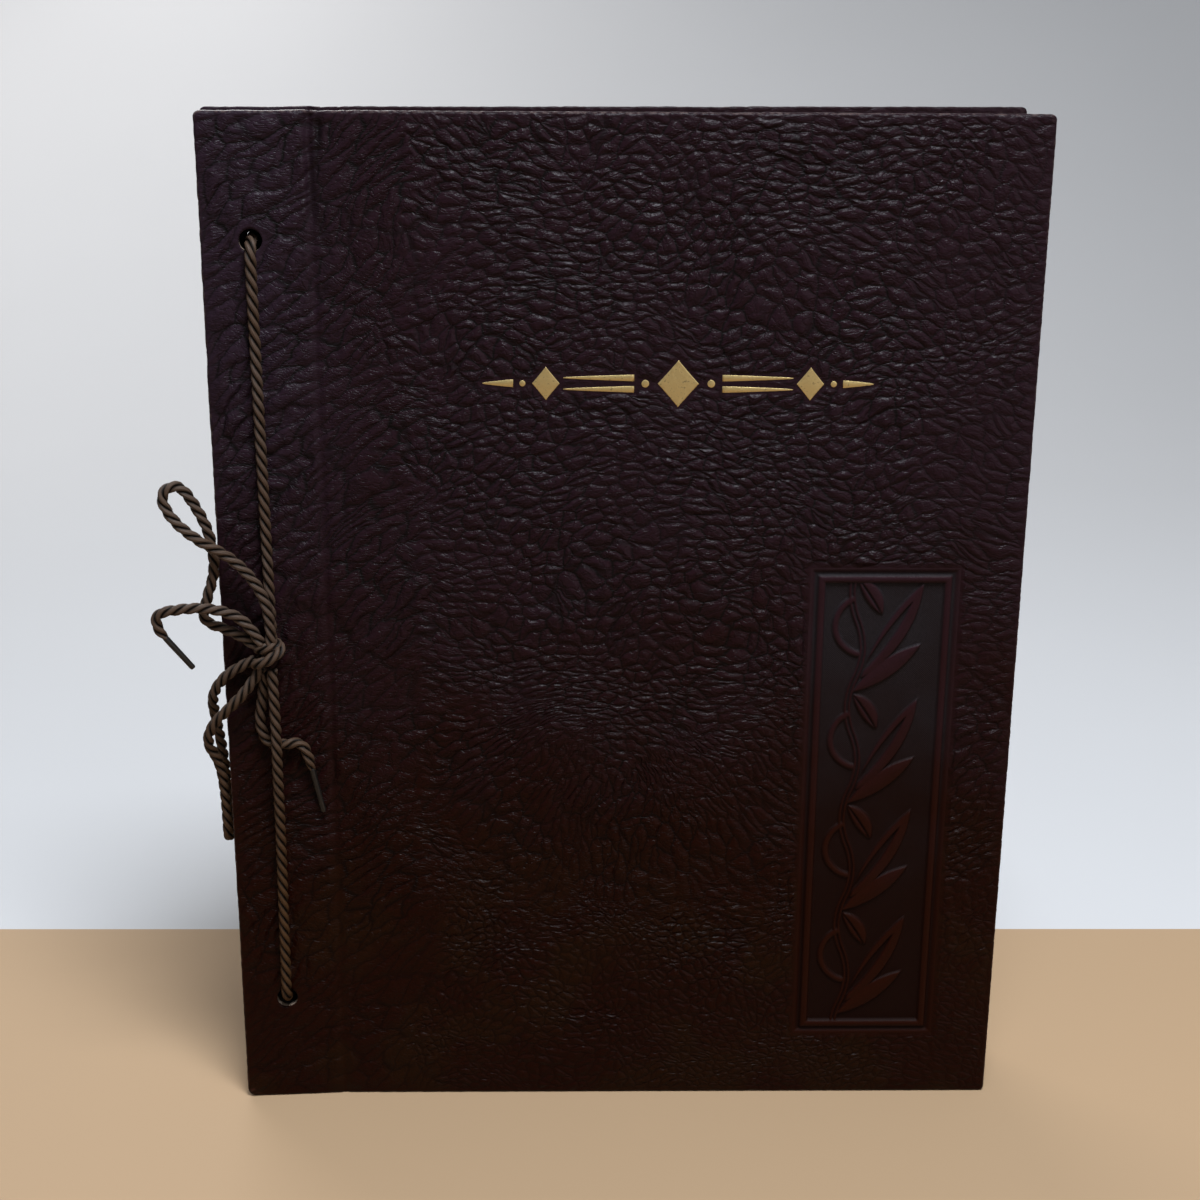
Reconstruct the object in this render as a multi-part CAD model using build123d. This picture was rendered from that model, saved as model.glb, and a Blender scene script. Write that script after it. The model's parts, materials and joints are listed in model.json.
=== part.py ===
from build123d import *
from math import radians, tan
import os

# A book of loose leaves between two stiff covers, laced through two holes with a cord tied in a bow.
# It stands on its tail edges with the front cover a little ajar. The front faces -Y, up is +Z,
# the spine edge is at -X, and the origin is at the middle of the foot. Lengths are in millimetres.

# Covers
cover_width = 216.0
cover_height = 280.0
cover_thickness = 2.4
corner_radius = 1.5
worn_corner_radius = 2.6
edge_radius = 0.8
ajar_angle = 3.9

# Crease between a binding strip and its board
crease_from_spine = 28.25
crease_width = 3.2
crease_depth = 0.7
crease_gap = 0.3

# Pasted linings, and the room between a board and the leaves
lining_thickness = 0.2
turn_in = 14.0
leaf_clearance = 0.2

# Leaves
text_thickness = 12.2
head_square = 3.0
fore_square = 4.0
spine_square = 1.0

# Punched holes
hole_diameter = 6.0
hole_spacing = 215.9
hole_from_spine = 12.7

# Embossed panel on the front board
panel_width = 36.4
panel_height = 137.5
panel_from_fore = 18.9
panel_from_tail = 21.6
bead_width = 2.2
bead_rise = 0.3
groove_width = 0.9
ground_depth = 0.45
relief_height = 0.5
stem_width = 1.6
tendril_width = 1.3

# Leaf vine in the panel. Places are shares of the panel's inner width and of one repeat's height,
# counted from a leaf node of the stem, and bulges are shares of a leaf's length.
repeat_count = 4
bead_round_share = 0.8
node_shares = (0.26, 0.05)
stem_centre_share = 0.023
stem_cross_share = 0.13
stem_sway_share = 0.053
long_leaf_shares = ((0.05, 0.20), (0.53, 0.93))
long_bulge_shares = (0.07, 0.10)
slit_shares = ((0.125, 0.33), (0.44, 0.75))
slit_bulge_shares = (0.02, 0.02)
second_leaf_shares = ((0.0, 0.0), (0.545, 0.41))
second_bulge_shares = (0.12, 0.14)
small_leaf_shares = ((0.01, -0.01), (0.23, -0.33))
small_bulge_shares = (0.25, 0.11)
tendril_shares = ((0.0, 0.83), (-0.175, 0.58), (0.03, 0.34))

# Lace
lace_diameter = 3.0
lace_clearance = 0.2
lace_bend_radius = 3.2
tip_diameter = 1.7
lace_flats = 8
knot_width = 7.4
run_share = 0.45

# Overrun of every cut past the surface that it leaves
cut_overrun = 1.0

# Routes of the bow, each point as its distance right of the middle, out from the front strip and up
knot_centre = (-95.9, 4.0, 137.6)
upper_run_start = (-94.5, 2.3, 141.0)
lower_run_end = [(-94.7, 1.75, 84.0), (-94.5, 4.8, 106.0), (-94.3, 5.2, 117.0), (-94.6, 5.6, 134.5)]
upper_loop_route = [
    (-94.6, 5.6, 140.5), (-94.2, 5.6, 149.5), (-97.3, 5.6, 158.6), (-103.8, 5.8, 166.2),
    (-112.4, 5.9, 170.9), (-119.0, 5.5, 177.0), (-121.6, 4.8, 183.4), (-116.6, 3.8, 186.2),
    (-112.2, 2.6, 178.8), (-109.2, 1.9, 171.0), (-108.5, 1.8, 161.4), (-111.2, 1.8, 153.6),
    (-112.8, 2.0, 147.4), (-106.8, 2.8, 145.4), (-100.4, 3.7, 142.4), (-97.6, 4.2, 139.6),
]
left_tail_route = [
    (-97.0, 5.3, 141.5), (-100.4, 5.6, 148.3), (-107.3, 5.8, 151.7), (-114.2, 5.8, 152.4),
    (-119.4, 5.6, 151.8), (-124.0, 5.2, 150.9), (-124.7, 4.8, 146.9), (-122.0, 4.5, 143.3),
]
left_tip_end = (-115.6, 3.79, 134.77)
lower_loop_route = [
    (-97.4, 4.4, 134.8), (-101.6, 4.7, 128.2), (-107.0, 4.4, 122.9), (-112.0, 2.7, 117.4),
    (-113.7, 0.2, 111.4), (-110.8, -2.6, 105.0), (-110.0, -4.0, 96.0), (-109.9, -4.8, 87.0),
    (-109.9, -5.2, 80.2), (-110.0, -12.0, 79.8), (-110.1, -12.2, 86.8), (-110.3, -11.4, 96.6),
    (-110.8, -9.0, 107.6), (-111.6, -5.2, 117.4), (-111.8, -0.8, 125.0), (-108.0, 2.0, 131.4),
    (-102.4, 3.2, 135.2), (-99.0, 4.0, 137.0),
]
right_tail_route = [
    (-96.8, 3.4, 133.0), (-97.8, 2.5, 125.0), (-99.2, 1.8, 117.6), (-97.0, 1.75, 111.4),
    (-92.6, 1.75, 111.2), (-87.8, 1.9, 111.9), (-86.0, 1.95, 107.2), (-85.2, 1.75, 103.2),
]
right_tip_end = (-82.7, 1.12, 90.7)

# Values that follow from the driving dimensions
front, back = -1, 1
half_thickness = text_thickness / 2 + cover_thickness
board_thickness = cover_thickness - lining_thickness - leaf_clearance
spine_x = -cover_width / 2
fore_x = cover_width / 2
crease_x = spine_x + crease_from_spine
hole_x = spine_x + hole_from_spine
low_hole_z = (cover_height - hole_spacing) / 2
high_hole_z = (cover_height + hole_spacing) / 2
inner_width = panel_width - 2 * bead_width
inner_height = panel_height - 2 * bead_width
repeat_height = inner_height / repeat_count


def side_y(side, out):
    """Distance along Y of a place that lies out from the outer face of one cover."""
    return side * (half_thickness + out)


def cover_blank(side, outline):
    """Upright slab over an outline given as distance right and distance out from the cover's face."""
    corners = [(x, side_y(side, out)) for x, out in outline]
    return extrude(make_face(Polyline(*corners, close=True)), amount=cover_height, dir=(0, 0, 1))


def wrap_edges(blank, side, outer_end, tail_radius):
    """Rounded outer corners and the soft rim where the leatherette is wrapped over the board."""
    corners = blank.edges().filter_by(Axis.Y).group_by(Axis.X)[outer_end].sort_by(Axis.Z)
    blank = fillet(corners[0], tail_radius)
    corners = blank.edges().filter_by(Axis.Y).group_by(Axis.X)[outer_end].sort_by(Axis.Z)
    blank = fillet(corners[-1], corner_radius)
    faces = blank.faces().filter_by(Plane.XZ).sort_by(Axis.Y)
    outer_face = faces[0] if side == front else faces[-1]
    rim = outer_face.edges().sort_by(Axis.X)
    rim = rim[:-1] if outer_end == 0 else rim[1:]
    return fillet(rim, edge_radius)


def lacing_holes(piece):
    """The two punched holes, cut through a strip or through the leaves."""
    depth = 2 * (half_thickness + cut_overrun)
    for hole_z in (low_hole_z, high_hole_z):
        punch = Cylinder(hole_diameter / 2, depth, rotation=(90, 0, 0))
        piece -= Pos(hole_x, 0, hole_z) * punch
    return piece


def binding_strip(side, tail_radius):
    """Stiff strip along the spine edge, bevelled down to the crease, with the two holes."""
    outline = [
        (spine_x, 0),
        (crease_x - crease_width / 2, 0),
        (crease_x - crease_gap / 2, -crease_depth),
        (crease_x - crease_gap / 2, -cover_thickness),
        (spine_x, -cover_thickness),
    ]
    return lacing_holes(wrap_edges(cover_blank(side, outline), side, 0, tail_radius))


def plain_board(side):
    """Stiff board from the crease to the fore edge."""
    outline = [
        (crease_x + crease_width / 2, 0),
        (fore_x, 0),
        (fore_x, -board_thickness),
        (crease_x + crease_gap / 2, -board_thickness),
        (crease_x + crease_gap / 2, -crease_depth),
    ]
    return wrap_edges(cover_blank(side, outline), side, -1, corner_radius)


def lining(side):
    """Paper pasted on the inner face of a board, inside the turned-in leatherette."""
    left_x = crease_x + turn_in
    right_x = fore_x - turn_in
    sheet = Box(right_x - left_x, lining_thickness, cover_height - 2 * turn_in)
    middle_y = side_y(side, -board_thickness - lining_thickness / 2)
    return Pos((left_x + right_x) / 2, middle_y, cover_height / 2) * sheet


def text_block():
    """The stack of loose leaves, set back from the covers on every side, with the two holes."""
    left_x = spine_x + spine_square
    right_x = fore_x - fore_square
    leaves = Box(right_x - left_x, text_thickness, cover_height - 2 * head_square)
    return lacing_holes(Pos((left_x + right_x) / 2, 0, cover_height / 2) * leaves)


def motif_point(node, shares):
    """A place of the vine, from shares of the panel's inner width and of a repeat's height."""
    return Vector(node[0] + shares[0] * inner_width, node[1] + shares[1] * repeat_height)


def leaf(node, end_shares, bulge_shares):
    """Pointed leaf between two arcs that meet at its base and at its tip."""
    base = motif_point(node, end_shares[0])
    tip = motif_point(node, end_shares[1])
    along = tip - base
    across = Vector(-along.Y, along.X)
    middle = (base + tip) / 2
    left_arc = ThreePointArc(base, middle + across * bulge_shares[0], tip)
    right_arc = ThreePointArc(tip, middle - across * bulge_shares[1], base)
    return make_face(Curve() + [left_arc, right_arc])


def stem_node(repeat):
    """Place of the leaf node of one repeat on the panel's ground."""
    return (node_shares[0] * inner_width, (repeat + node_shares[1]) * repeat_height)


def vine_stem():
    """Waving stem of equal arcs that swing right and left about a straight line."""
    half_wave = repeat_height / 2
    sway = stem_sway_share * repeat_height
    middle_x = (node_shares[0] + stem_centre_share) * inner_width
    start_z = stem_node(0)[1] + stem_cross_share * repeat_height - half_wave
    stem = Sketch()
    for wave in range(2 * repeat_count + 1):
        low = Vector(middle_x, start_z + wave * half_wave)
        high = Vector(middle_x, start_z + (wave + 1) * half_wave)
        swing = sway if wave % 2 else -sway
        stem += trace(ThreePointArc(low, (low + high) / 2 + Vector(swing, 0), high), stem_width)
    return stem


def vine():
    """Stem, leaves and tendrils of every repeat, cropped by the inside of the bead."""
    growth = vine_stem()
    for repeat in range(repeat_count):
        node = stem_node(repeat)
        growth += leaf(node, long_leaf_shares, long_bulge_shares) - leaf(node, slit_shares, slit_bulge_shares)
        growth += leaf(node, second_leaf_shares, second_bulge_shares)
        growth += leaf(stem_node(repeat + 1), small_leaf_shares, small_bulge_shares)
        curl = ThreePointArc(*[motif_point(node, shares) for shares in tendril_shares])
        growth += trace(curl, tendril_width)
    return growth & Rectangle(inner_width, inner_height, align=(Align.MIN, Align.MIN))


def embossed_board():
    """Front board with its sunk panel, rounded bead and leaf vine."""
    low_corner = (Align.MIN, Align.MIN)
    panel_x = fore_x - panel_from_fore - panel_width
    face = Plane(origin=(panel_x, side_y(front, 0), panel_from_tail), x_dir=(1, 0, 0), z_dir=(0, -1, 0))
    ground = face.offset(-ground_depth)
    sunk_width = panel_width + 2 * groove_width
    sunk_height = panel_height + 2 * groove_width
    sunk = Pos(-groove_width, -groove_width) * Rectangle(sunk_width, sunk_height, align=low_corner)
    inside = Pos(bead_width, bead_width) * Rectangle(inner_width, inner_height, align=low_corner)
    rim = Rectangle(panel_width, panel_height, align=low_corner) - inside
    bead = extrude(ground * rim, amount=ground_depth + bead_rise)
    bead_round = bead_round_share * min(bead_width / 2, ground_depth + bead_rise)
    bead = fillet(bead.faces().sort_by(Axis.Y)[0].edges(), bead_round)
    growth = extrude(ground * (Pos(bead_width, bead_width) * vine()), amount=relief_height)
    board = plain_board(front) - extrude(ground * sunk, amount=ground_depth + cut_overrun)
    return board + bead + growth


def crease_axis(side):
    """Place of the vertical line about which a board folds."""
    return (crease_x, side_y(side, -crease_depth), 0)


def set_ajar(piece):
    """A piece of the front cover, turned open about the front crease."""
    axis_x, axis_y, axis_z = crease_axis(front)
    return Pos(axis_x, axis_y, axis_z) * Rot(0, 0, -ajar_angle) * Pos(-axis_x, -axis_y, -axis_z) * piece


def lace_point(place):
    """Point of the lace from its distance right, out from the front strip and up."""
    return Vector(place[0], side_y(front, place[1]), place[2])


def bend_radii(points):
    """The largest arc that the two runs at each inner point of a route leave room for."""
    radii = []
    for before, here, after in zip(points, points[1:], points[2:]):
        shorter = min((here - before).length, (after - here).length)
        turn = (here - before).get_angle(after - here)
        radii.append(run_share * shorter / tan(radians(turn) / 2))
    return radii


def lace_tube(name, points, radii):
    """Plain cord of eight flats along straight runs joined by tangent arcs."""
    path = FilletPolyline(*points, radius=radii)
    section = Plane(origin=path @ 0, z_dir=path % 0) * RegularPolygon(lace_diameter / 2, lace_flats)
    tube = sweep(section, path=path)
    fill = tube.volume / (path.length * section.area)
    print(name, "length", round(path.length, 1), "fill", round(fill, 4), "radii", [round(r, 1) for r in radii])
    return tube


def bow_tube(name, route):
    """Loop or tail of the bow along its route."""
    points = [lace_point(place) for place in route]
    return lace_tube(name, points, bend_radii(points))


def lace_run():
    """From the knot up to the high hole, through it, down the back, through the low hole and up again."""
    outside = lace_diameter / 2 + lace_clearance
    behind = -2 * half_thickness - outside
    corners = [(outside, high_hole_z), (behind, high_hole_z), (behind, low_hole_z), (outside, low_hole_z)]
    points = [lace_point(upper_run_start)]
    points += [lace_point((hole_x, out, hole_z)) for out, hole_z in corners]
    points += [lace_point(place) for place in lower_run_end]
    radii = [lace_bend_radius] * len(corners) + bend_radii(points)[len(corners):]
    return lace_tube("lace_run", points, radii)


def knot():
    """Round heart of the bow."""
    return Pos(*lace_point(knot_centre)) * Sphere(knot_width / 2)


def lace_tip(tail_route, end):
    """Thin stiff sheath on the end of a tail."""
    start = lace_point(tail_route[-1])
    axis = lace_point(end) - start
    return extrude(Plane(origin=start, z_dir=axis) * Circle(tip_diameter / 2), amount=axis.length)


covers = {
    "front_binding_strip": binding_strip(front, worn_corner_radius),
    "front_board": set_ajar(embossed_board()),
    "front_lining": set_ajar(lining(front)),
    "text_block": text_block(),
    "back_binding_strip": binding_strip(back, corner_radius),
    "back_board": plain_board(back),
    "back_lining": lining(back),
}
lace = {
    "lace_run": lace_run(),
    "bow_knot": knot(),
    "bow_upper_loop": bow_tube("bow_upper_loop", upper_loop_route),
    "bow_lower_loop": bow_tube("bow_lower_loop", lower_loop_route),
    "bow_left_tail": bow_tube("bow_left_tail", left_tail_route),
    "bow_right_tail": bow_tube("bow_right_tail", right_tail_route),
    "left_lace_tip": lace_tip(left_tail_route, left_tip_end),
    "right_lace_tip": lace_tip(right_tail_route, right_tip_end),
}

# The ajar cover reaches further forward than the back cover reaches back, so the foot's middle moves
boxes = [piece.bounding_box() for piece in covers.values()]
foot_y = (min(box.min.Y for box in boxes) + max(box.max.Y for box in boxes)) / 2
to_foot = Pos(0, -foot_y, 0)

os.makedirs("parts", exist_ok=True)
for name, piece in {**covers, **lace}.items():
    export_step(to_foot * piece, f"parts/{name}.step")

for name, side in (("front", front), ("back", back)):
    axis_x, axis_y, axis_z = crease_axis(side)
    print(name, "crease axis", round(axis_x, 3), round(axis_y - foot_y, 3))
    print(name, "outer face", round(side_y(side, 0) - foot_y, 3))
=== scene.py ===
import json
from math import cos, pi, radians, sin

import bmesh
import bpy
import numpy as np
from bpy.props import FloatProperty, FloatVectorProperty, IntProperty, PointerProperty
from mathutils import Matrix, Vector


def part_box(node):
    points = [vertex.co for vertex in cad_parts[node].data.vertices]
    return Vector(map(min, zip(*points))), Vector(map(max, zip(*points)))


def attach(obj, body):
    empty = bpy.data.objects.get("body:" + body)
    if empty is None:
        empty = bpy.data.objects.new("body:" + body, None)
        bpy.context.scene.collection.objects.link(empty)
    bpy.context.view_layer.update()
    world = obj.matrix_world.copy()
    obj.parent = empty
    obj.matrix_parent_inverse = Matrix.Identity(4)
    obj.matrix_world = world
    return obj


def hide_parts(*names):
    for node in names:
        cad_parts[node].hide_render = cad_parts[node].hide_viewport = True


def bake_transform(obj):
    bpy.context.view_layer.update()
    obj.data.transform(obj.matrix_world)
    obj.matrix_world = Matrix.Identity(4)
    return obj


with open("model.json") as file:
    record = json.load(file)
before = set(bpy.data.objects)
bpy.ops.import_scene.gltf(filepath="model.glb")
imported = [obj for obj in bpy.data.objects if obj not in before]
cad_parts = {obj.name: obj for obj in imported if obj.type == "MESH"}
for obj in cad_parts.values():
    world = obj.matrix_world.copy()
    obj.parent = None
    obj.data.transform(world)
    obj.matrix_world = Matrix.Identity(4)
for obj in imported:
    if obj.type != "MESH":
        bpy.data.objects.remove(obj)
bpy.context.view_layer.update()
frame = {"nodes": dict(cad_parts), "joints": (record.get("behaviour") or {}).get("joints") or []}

bl_info = {
    "name": "Cord-laced book",
    "version": (1, 0, 0),
    "blender": (4, 5, 0),
    "location": "3D View > Sidebar > Laced Book",
    "description": "Leather covers, leaves, gilt ornament and tied lace of a cord-laced book",
    "category": "Object",
}

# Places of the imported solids, in metres
MM = 0.001
strip_low, strip_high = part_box("front_binding_strip")
board_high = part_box("back_board")[1]
leaf_low, leaf_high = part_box("text_block")
spine_x, front_y, cover_height = strip_low.x, strip_low.y, strip_high.z
fore_x, back_y = board_high.x, board_high.y
hinges = {joint["name"]: joint for joint in frame["joints"]}
crease_x, crease_y, _ = hinges["front_cover_hinge"]["pos_m"]
ajar_turn = radians(hinges["front_cover_hinge"]["range_deg"][0])
hole_x, hole_heights = -95.3 * MM, (32.05 * MM, 247.95 * MM)

# Lace routes in millimetres: distance right of the middle, out from the front strip, and up
LACE_RUN = [
    (-94.5, 2.3, 141.0), (-94.7, 1.7, 160.0), (-95.3, 1.7, 230.0), (-95.3, 1.7, 239.5),
    (-95.3, 1.7, 247.95), (-95.3, -8.5, 247.95), (-95.3, -18.7, 247.95), (-95.3, -18.7, 239.5),
    (-95.3, -18.7, 140.0), (-95.3, -18.7, 40.5), (-95.3, -18.7, 32.05), (-95.3, -8.5, 32.05),
    (-95.3, 1.7, 32.05), (-95.2, 1.7, 40.5), (-94.7, 1.75, 84.0), (-94.5, 4.8, 106.0),
    (-94.3, 5.2, 117.0), (-94.6, 5.6, 134.5),
]
UPPER_LOOP = [
    (-94.6, 5.6, 140.5), (-94.2, 5.6, 149.5), (-97.3, 5.6, 158.6), (-103.8, 5.8, 166.2),
    (-112.4, 5.9, 170.9), (-119.0, 5.5, 177.0), (-121.6, 4.8, 183.4), (-116.6, 3.8, 186.2),
    (-112.2, 2.6, 178.8), (-109.2, 1.9, 171.0), (-108.5, 1.8, 161.4), (-111.2, 1.8, 153.6),
    (-112.8, 2.0, 147.4), (-106.8, 2.8, 145.4), (-100.4, 3.7, 142.4), (-97.6, 4.2, 139.6),
]
LEFT_TAIL = [
    (-97.0, 5.3, 141.5), (-100.4, 5.6, 148.3), (-107.3, 5.8, 151.7), (-114.2, 5.8, 152.4),
    (-119.4, 5.6, 151.8), (-124.0, 5.2, 150.9), (-124.7, 4.8, 146.9), (-122.0, 4.5, 143.3),
]
LEFT_TIP_END = (-115.6, 3.79, 134.77)
LOWER_LOOP = [
    (-97.4, 4.4, 134.8), (-101.6, 4.7, 128.2), (-107.0, 4.4, 122.9), (-112.0, 2.7, 117.4),
    (-113.7, 0.2, 111.4), (-110.8, -2.6, 105.0), (-110.0, -4.0, 96.0), (-109.9, -4.8, 87.0),
    (-109.9, -5.2, 80.2), (-110.0, -12.0, 79.8), (-110.1, -12.2, 86.8), (-110.3, -11.4, 96.6),
    (-110.8, -9.0, 107.6), (-111.6, -5.2, 117.4), (-111.8, -0.8, 125.0), (-108.0, 2.0, 131.4),
    (-102.4, 3.2, 135.2), (-99.0, 4.0, 137.0),
]
RIGHT_TAIL = [
    (-96.8, 3.4, 133.0), (-97.8, 2.5, 125.0), (-99.2, 1.8, 117.6), (-97.0, 1.75, 111.4),
    (-92.6, 1.75, 111.2), (-87.8, 1.9, 111.9), (-86.0, 1.95, 107.2), (-85.2, 1.75, 103.2),
]
RIGHT_TIP_END = (-82.7, 1.12, 90.7)
KNOT_WRAPS = [
    [(-98.6, 3.4, 135.4), (-99.4, 6.2, 136.2), (-96.0, 8.2, 137.4), (-92.6, 7.0, 139.4),
     (-91.9, 3.6, 140.6), (-94.0, 1.4, 139.4), (-97.4, 1.6, 136.4), (-98.9, 3.6, 135.2)],
    [(-97.6, 2.2, 139.6), (-98.2, 5.0, 140.0), (-95.4, 6.6, 140.8), (-93.0, 5.2, 141.4),
     (-93.2, 2.6, 141.0), (-95.6, 1.6, 140.2), (-97.8, 2.4, 139.4)],
]

# Leaf vine, as shares of the panel's inner width and of one repeat's height, from a leaf node of the stem
NODE = np.array([0.26, 0.05])
STEM_CENTRE, STEM_CROSS, STEM_SWAY = 0.023, 0.13, 0.053
LONG_LEAF, LONG_BULGES = np.array([(0.07, 0.12), (0.575, 0.955)]), (0.08, 0.122)
SLIT, SLIT_BULGES = np.array([(0.07, 0.17), (0.475, 0.785)]), (0.035, 0.05)
SECOND_LEAF, SECOND_BULGES = np.array([(0.0, 0.0), (0.58, 0.43)]), (0.107, 0.11)
SMALL_LEAF, SMALL_BULGES, RIB_BULGES = np.array([(0.01, -0.01), (0.23, -0.33)]), (0.25, 0.11), (0.035, 0.004)
TENDRIL = np.array([(-0.03, 0.81), (-0.165, 0.58), (0.03, 0.34)])

# Grain
FOLD = (1.5, 127.0, 0)  # Where the lower pebbles fan out from, in millimetres
STRIP_LEAN = radians(-42)  # Turn of the strip's pebbles
GRAIN_LEVEL = 0.8  # Height of the grain that stays level with smooth leather
EDGE_RELIEF, HOLE_RELIEF = 0.35, 0.2  # Shares of the grain left on rolled edges and in holes
MIDDLE = (0.5, 0.5, 0.5)  # Middle of a node's random colours

# Meshes
HOLE_BLEND = 2.3  # Reach of the round lines about a hole, in radii
TUCK, TURN_IN = 0.4 * MM, 0.5 * MM  # Leather rounded in at an inner edge, and laid flat inside it
SHARP_ANGLE = radians(50)  # Steepest edge that stays smooth
LEAF_SEED = 7  # Start of the random draws for the leaves


def setting(kind, **options):
    """Maker of properties of one kind, from a name, a description and a default."""
    return lambda name, description, default: kind(name=name, description=description, default=default, **options)


length = setting(FloatProperty, unit="LENGTH", precision=5)
share = setting(FloatProperty, min=0, max=1, subtype="FACTOR")
colour = setting(FloatVectorProperty, size=3, min=0, max=1, subtype="COLOR")
count = setting(IntProperty)
power = setting(FloatProperty, unit="POWER")
angle = setting(FloatProperty, subtype="ANGLE")


class CoverSizes(bpy.types.PropertyGroup):
    """Sizes of the two leather covers"""

    edge_radius: length("Edge radius", "Roll of the leather over a board's outer edge", 0.0008)
    corner_radius: length("Corner radius", "Rounding of a sound corner", 0.0015)
    worn_radius: length("Worn radius", "Rounding of the worn corner at the tail of the spine", 0.0026)
    strip_thickness: length("Strip thickness", "Thickness of a binding strip", 0.00235)
    board_thickness: length("Board thickness", "Thickness of a board", 0.002)
    crease_width: length("Crease width", "Width of the crease that a board folds along", 0.0032)
    crease_depth: length("Crease depth", "Depth of the crease", 0.00035)
    hinge_thickness: length("Hinge thickness", "Leather and lining left at the bottom of the crease", 0.0006)
    hole_diameter: length("Hole diameter", "Diameter of a punched lacing hole", 0.006)
    grid_step: length("Grid step", "Distance between the mesh lines of a board", 0.00078)
    strip_step: length("Strip step", "Distance between the mesh lines of a strip", 0.0005)


class LeatherLook(bpy.types.PropertyGroup):
    """Colours and grain of the leather"""

    # Partly painted reflection: the head tone is the hide's oxblood with a bluish cast added for the sky reflected on
    # the upper cover.
    tone: colour("Tone", "Faded oxblood on top of the pebbles, at the head", (0.0140, 0.0055, 0.0084))
    # Painted sheen: a lighter bluish tone for the sky's reflection on the strip towards the head.
    spine_tone: colour("Spine tone", "Leather towards the head of the spine", (0.0215, 0.0135, 0.0225))
    deep_tone: colour("Deep tone", "Deep oxblood on top of the pebbles, at the tail", (0.0104, 0.0016, 0.0004))
    shade: colour("Shade", "Colour down in the creases of the grain", (0.0036, 0.0029, 0.0030))
    # Partly painted sheen: the ground's light grey-blue towards the head also stands for the sky's reflection.
    ground: colour("Ground", "Dark finish on the ground of the embossed panel", (0.0205, 0.0180, 0.0215))
    stain: colour("Stain", "Olive brown patches towards the tail", (0.0118, 0.0032, 0.0007))
    # Partly painted sheen: besides rubbed leather, the head's light grey stands for the highlight along the rolled top
    # edge.
    rubbed: colour("Rubbed", "Edges rubbed by handling, at the head", (0.050, 0.032, 0.031))
    scuffed: colour("Scuffed", "Edges rubbed by handling, at the tail", (0.034, 0.011, 0.007))
    bared: colour("Bared", "Board that shows at the worn corner and in the holes", (0.30, 0.21, 0.15))
    roughness: share("Roughness", "Roughness of the leather's finish", 0.31)
    specular: share("Specular", "Strength of the leather's sheen", 0.06)
    pebble_length: length("Pebble length", "Usual length of a pebble of the grain", 0.0050)
    pebble_height: length("Pebble height", "Usual height of a pebble of the grain", 0.0029)
    relief: length("Relief", "Height of the grain in the mesh", 0.00045)
    bump: length("Bump", "Height of the grain's fine lines in the shading", 0.00062)


class PanelSizes(bpy.types.PropertyGroup):
    """Sizes of the embossed leaf panel"""

    width: length("Width", "Width over the bead", 0.0364)
    height: length("Height", "Height over the bead", 0.1375)
    from_fore: length("From fore edge", "Distance of the bead from the fore edge", 0.0189)
    from_tail: length("From tail", "Distance of the bead from the tail edge", 0.0216)
    bead_width: length("Bead width", "Width of the raised bead", 0.0022)
    bead_rise: length("Bead rise", "Height of the bead over the cover", 0.0004)
    groove_width: length("Groove width", "Width of the groove outside the bead", 0.0009)
    lip_width: length("Lip width", "Width of the pressed lip outside the groove", 0.0012)
    ground_depth: length("Ground depth", "Depth of the panel's ground", 0.0006)
    leaf_relief: length("Leaf relief", "Height of the leaves over the ground", 0.0008)
    stem_width: length("Stem width", "Width of the stem", 0.0016)
    tendril_width: length("Tendril width", "Width of a tendril", 0.0017)
    repeats: count("Repeats", "Number of leaf nodes on the stem", 4)
    grid_step: length("Grid step", "Distance between the mesh lines of the panel", 0.00028)


class GiltSizes(bpy.types.PropertyGroup):
    """Sizes and colour of the gilt ornament"""

    middle_x: length("Middle", "Distance of the ornament's middle right of the book's middle", 0.014)
    middle_z: length("Height", "Height of the ornament's middle", 0.2113)
    foil: length("Foil", "Height of the foil over the leather", 0.00006)
    tone: colour("Tone", "Colour of the gilt", (0.49, 0.365, 0.16))


class LaceLook(bpy.types.PropertyGroup):
    """Sizes and colours of the twisted lace"""

    diameter: length("Diameter", "Diameter of the lace", 0.003)
    lay: length("Lay", "Length in which a strand goes round once", 0.0104)
    strand_radius: length("Strand radius", "Radius of one of the three strands", 0.00073)
    strand_offset: length("Strand offset", "Distance of a strand's middle from the lace's line", 0.00081)
    step: length("Step", "Distance between the rings of a strand's mesh", 0.00042)
    tone: colour("Tone", "Colour of the yarn", (0.064, 0.042, 0.031))
    low_tone: colour("Low tone", "Colour of the yarn near the tail edge", (0.048, 0.022, 0.008))
    # Dark colour of the fibres, also used as painted shade between the strands.
    dark_tone: colour("Dark tone", "Colour between the yarns", (0.005, 0.003, 0.002))
    tip_radius: length("Tip radius", "Radius of the sheath on a lace end", 0.00085)
    tip_tone: colour("Tip tone", "Colour of the sheath", (0.014, 0.0115, 0.0105))


class PaperLook(bpy.types.PropertyGroup):
    """Leaves and linings"""

    leaf_tone: colour("Leaf tone", "Colour of the leaves", (0.60, 0.52, 0.40))
    # Painted shade: the darker colour of the gaps between the leaves.
    leaf_edge_tone: colour("Leaf edge tone", "Colour between the leaves", (0.30, 0.22, 0.14))
    lining_tone: colour("Lining tone", "Colour of the pasted lining", (0.16, 0.07, 0.06))
    leaf_count: count("Leaf count", "Number of leaves that show at the edges", 34)
    hole_diameter: length("Hole diameter", "Diameter of the holes that the lace fills", 0.0033)
    unevenness: length("Unevenness", "How far one leaf stands back from the next", 0.00022)


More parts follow.
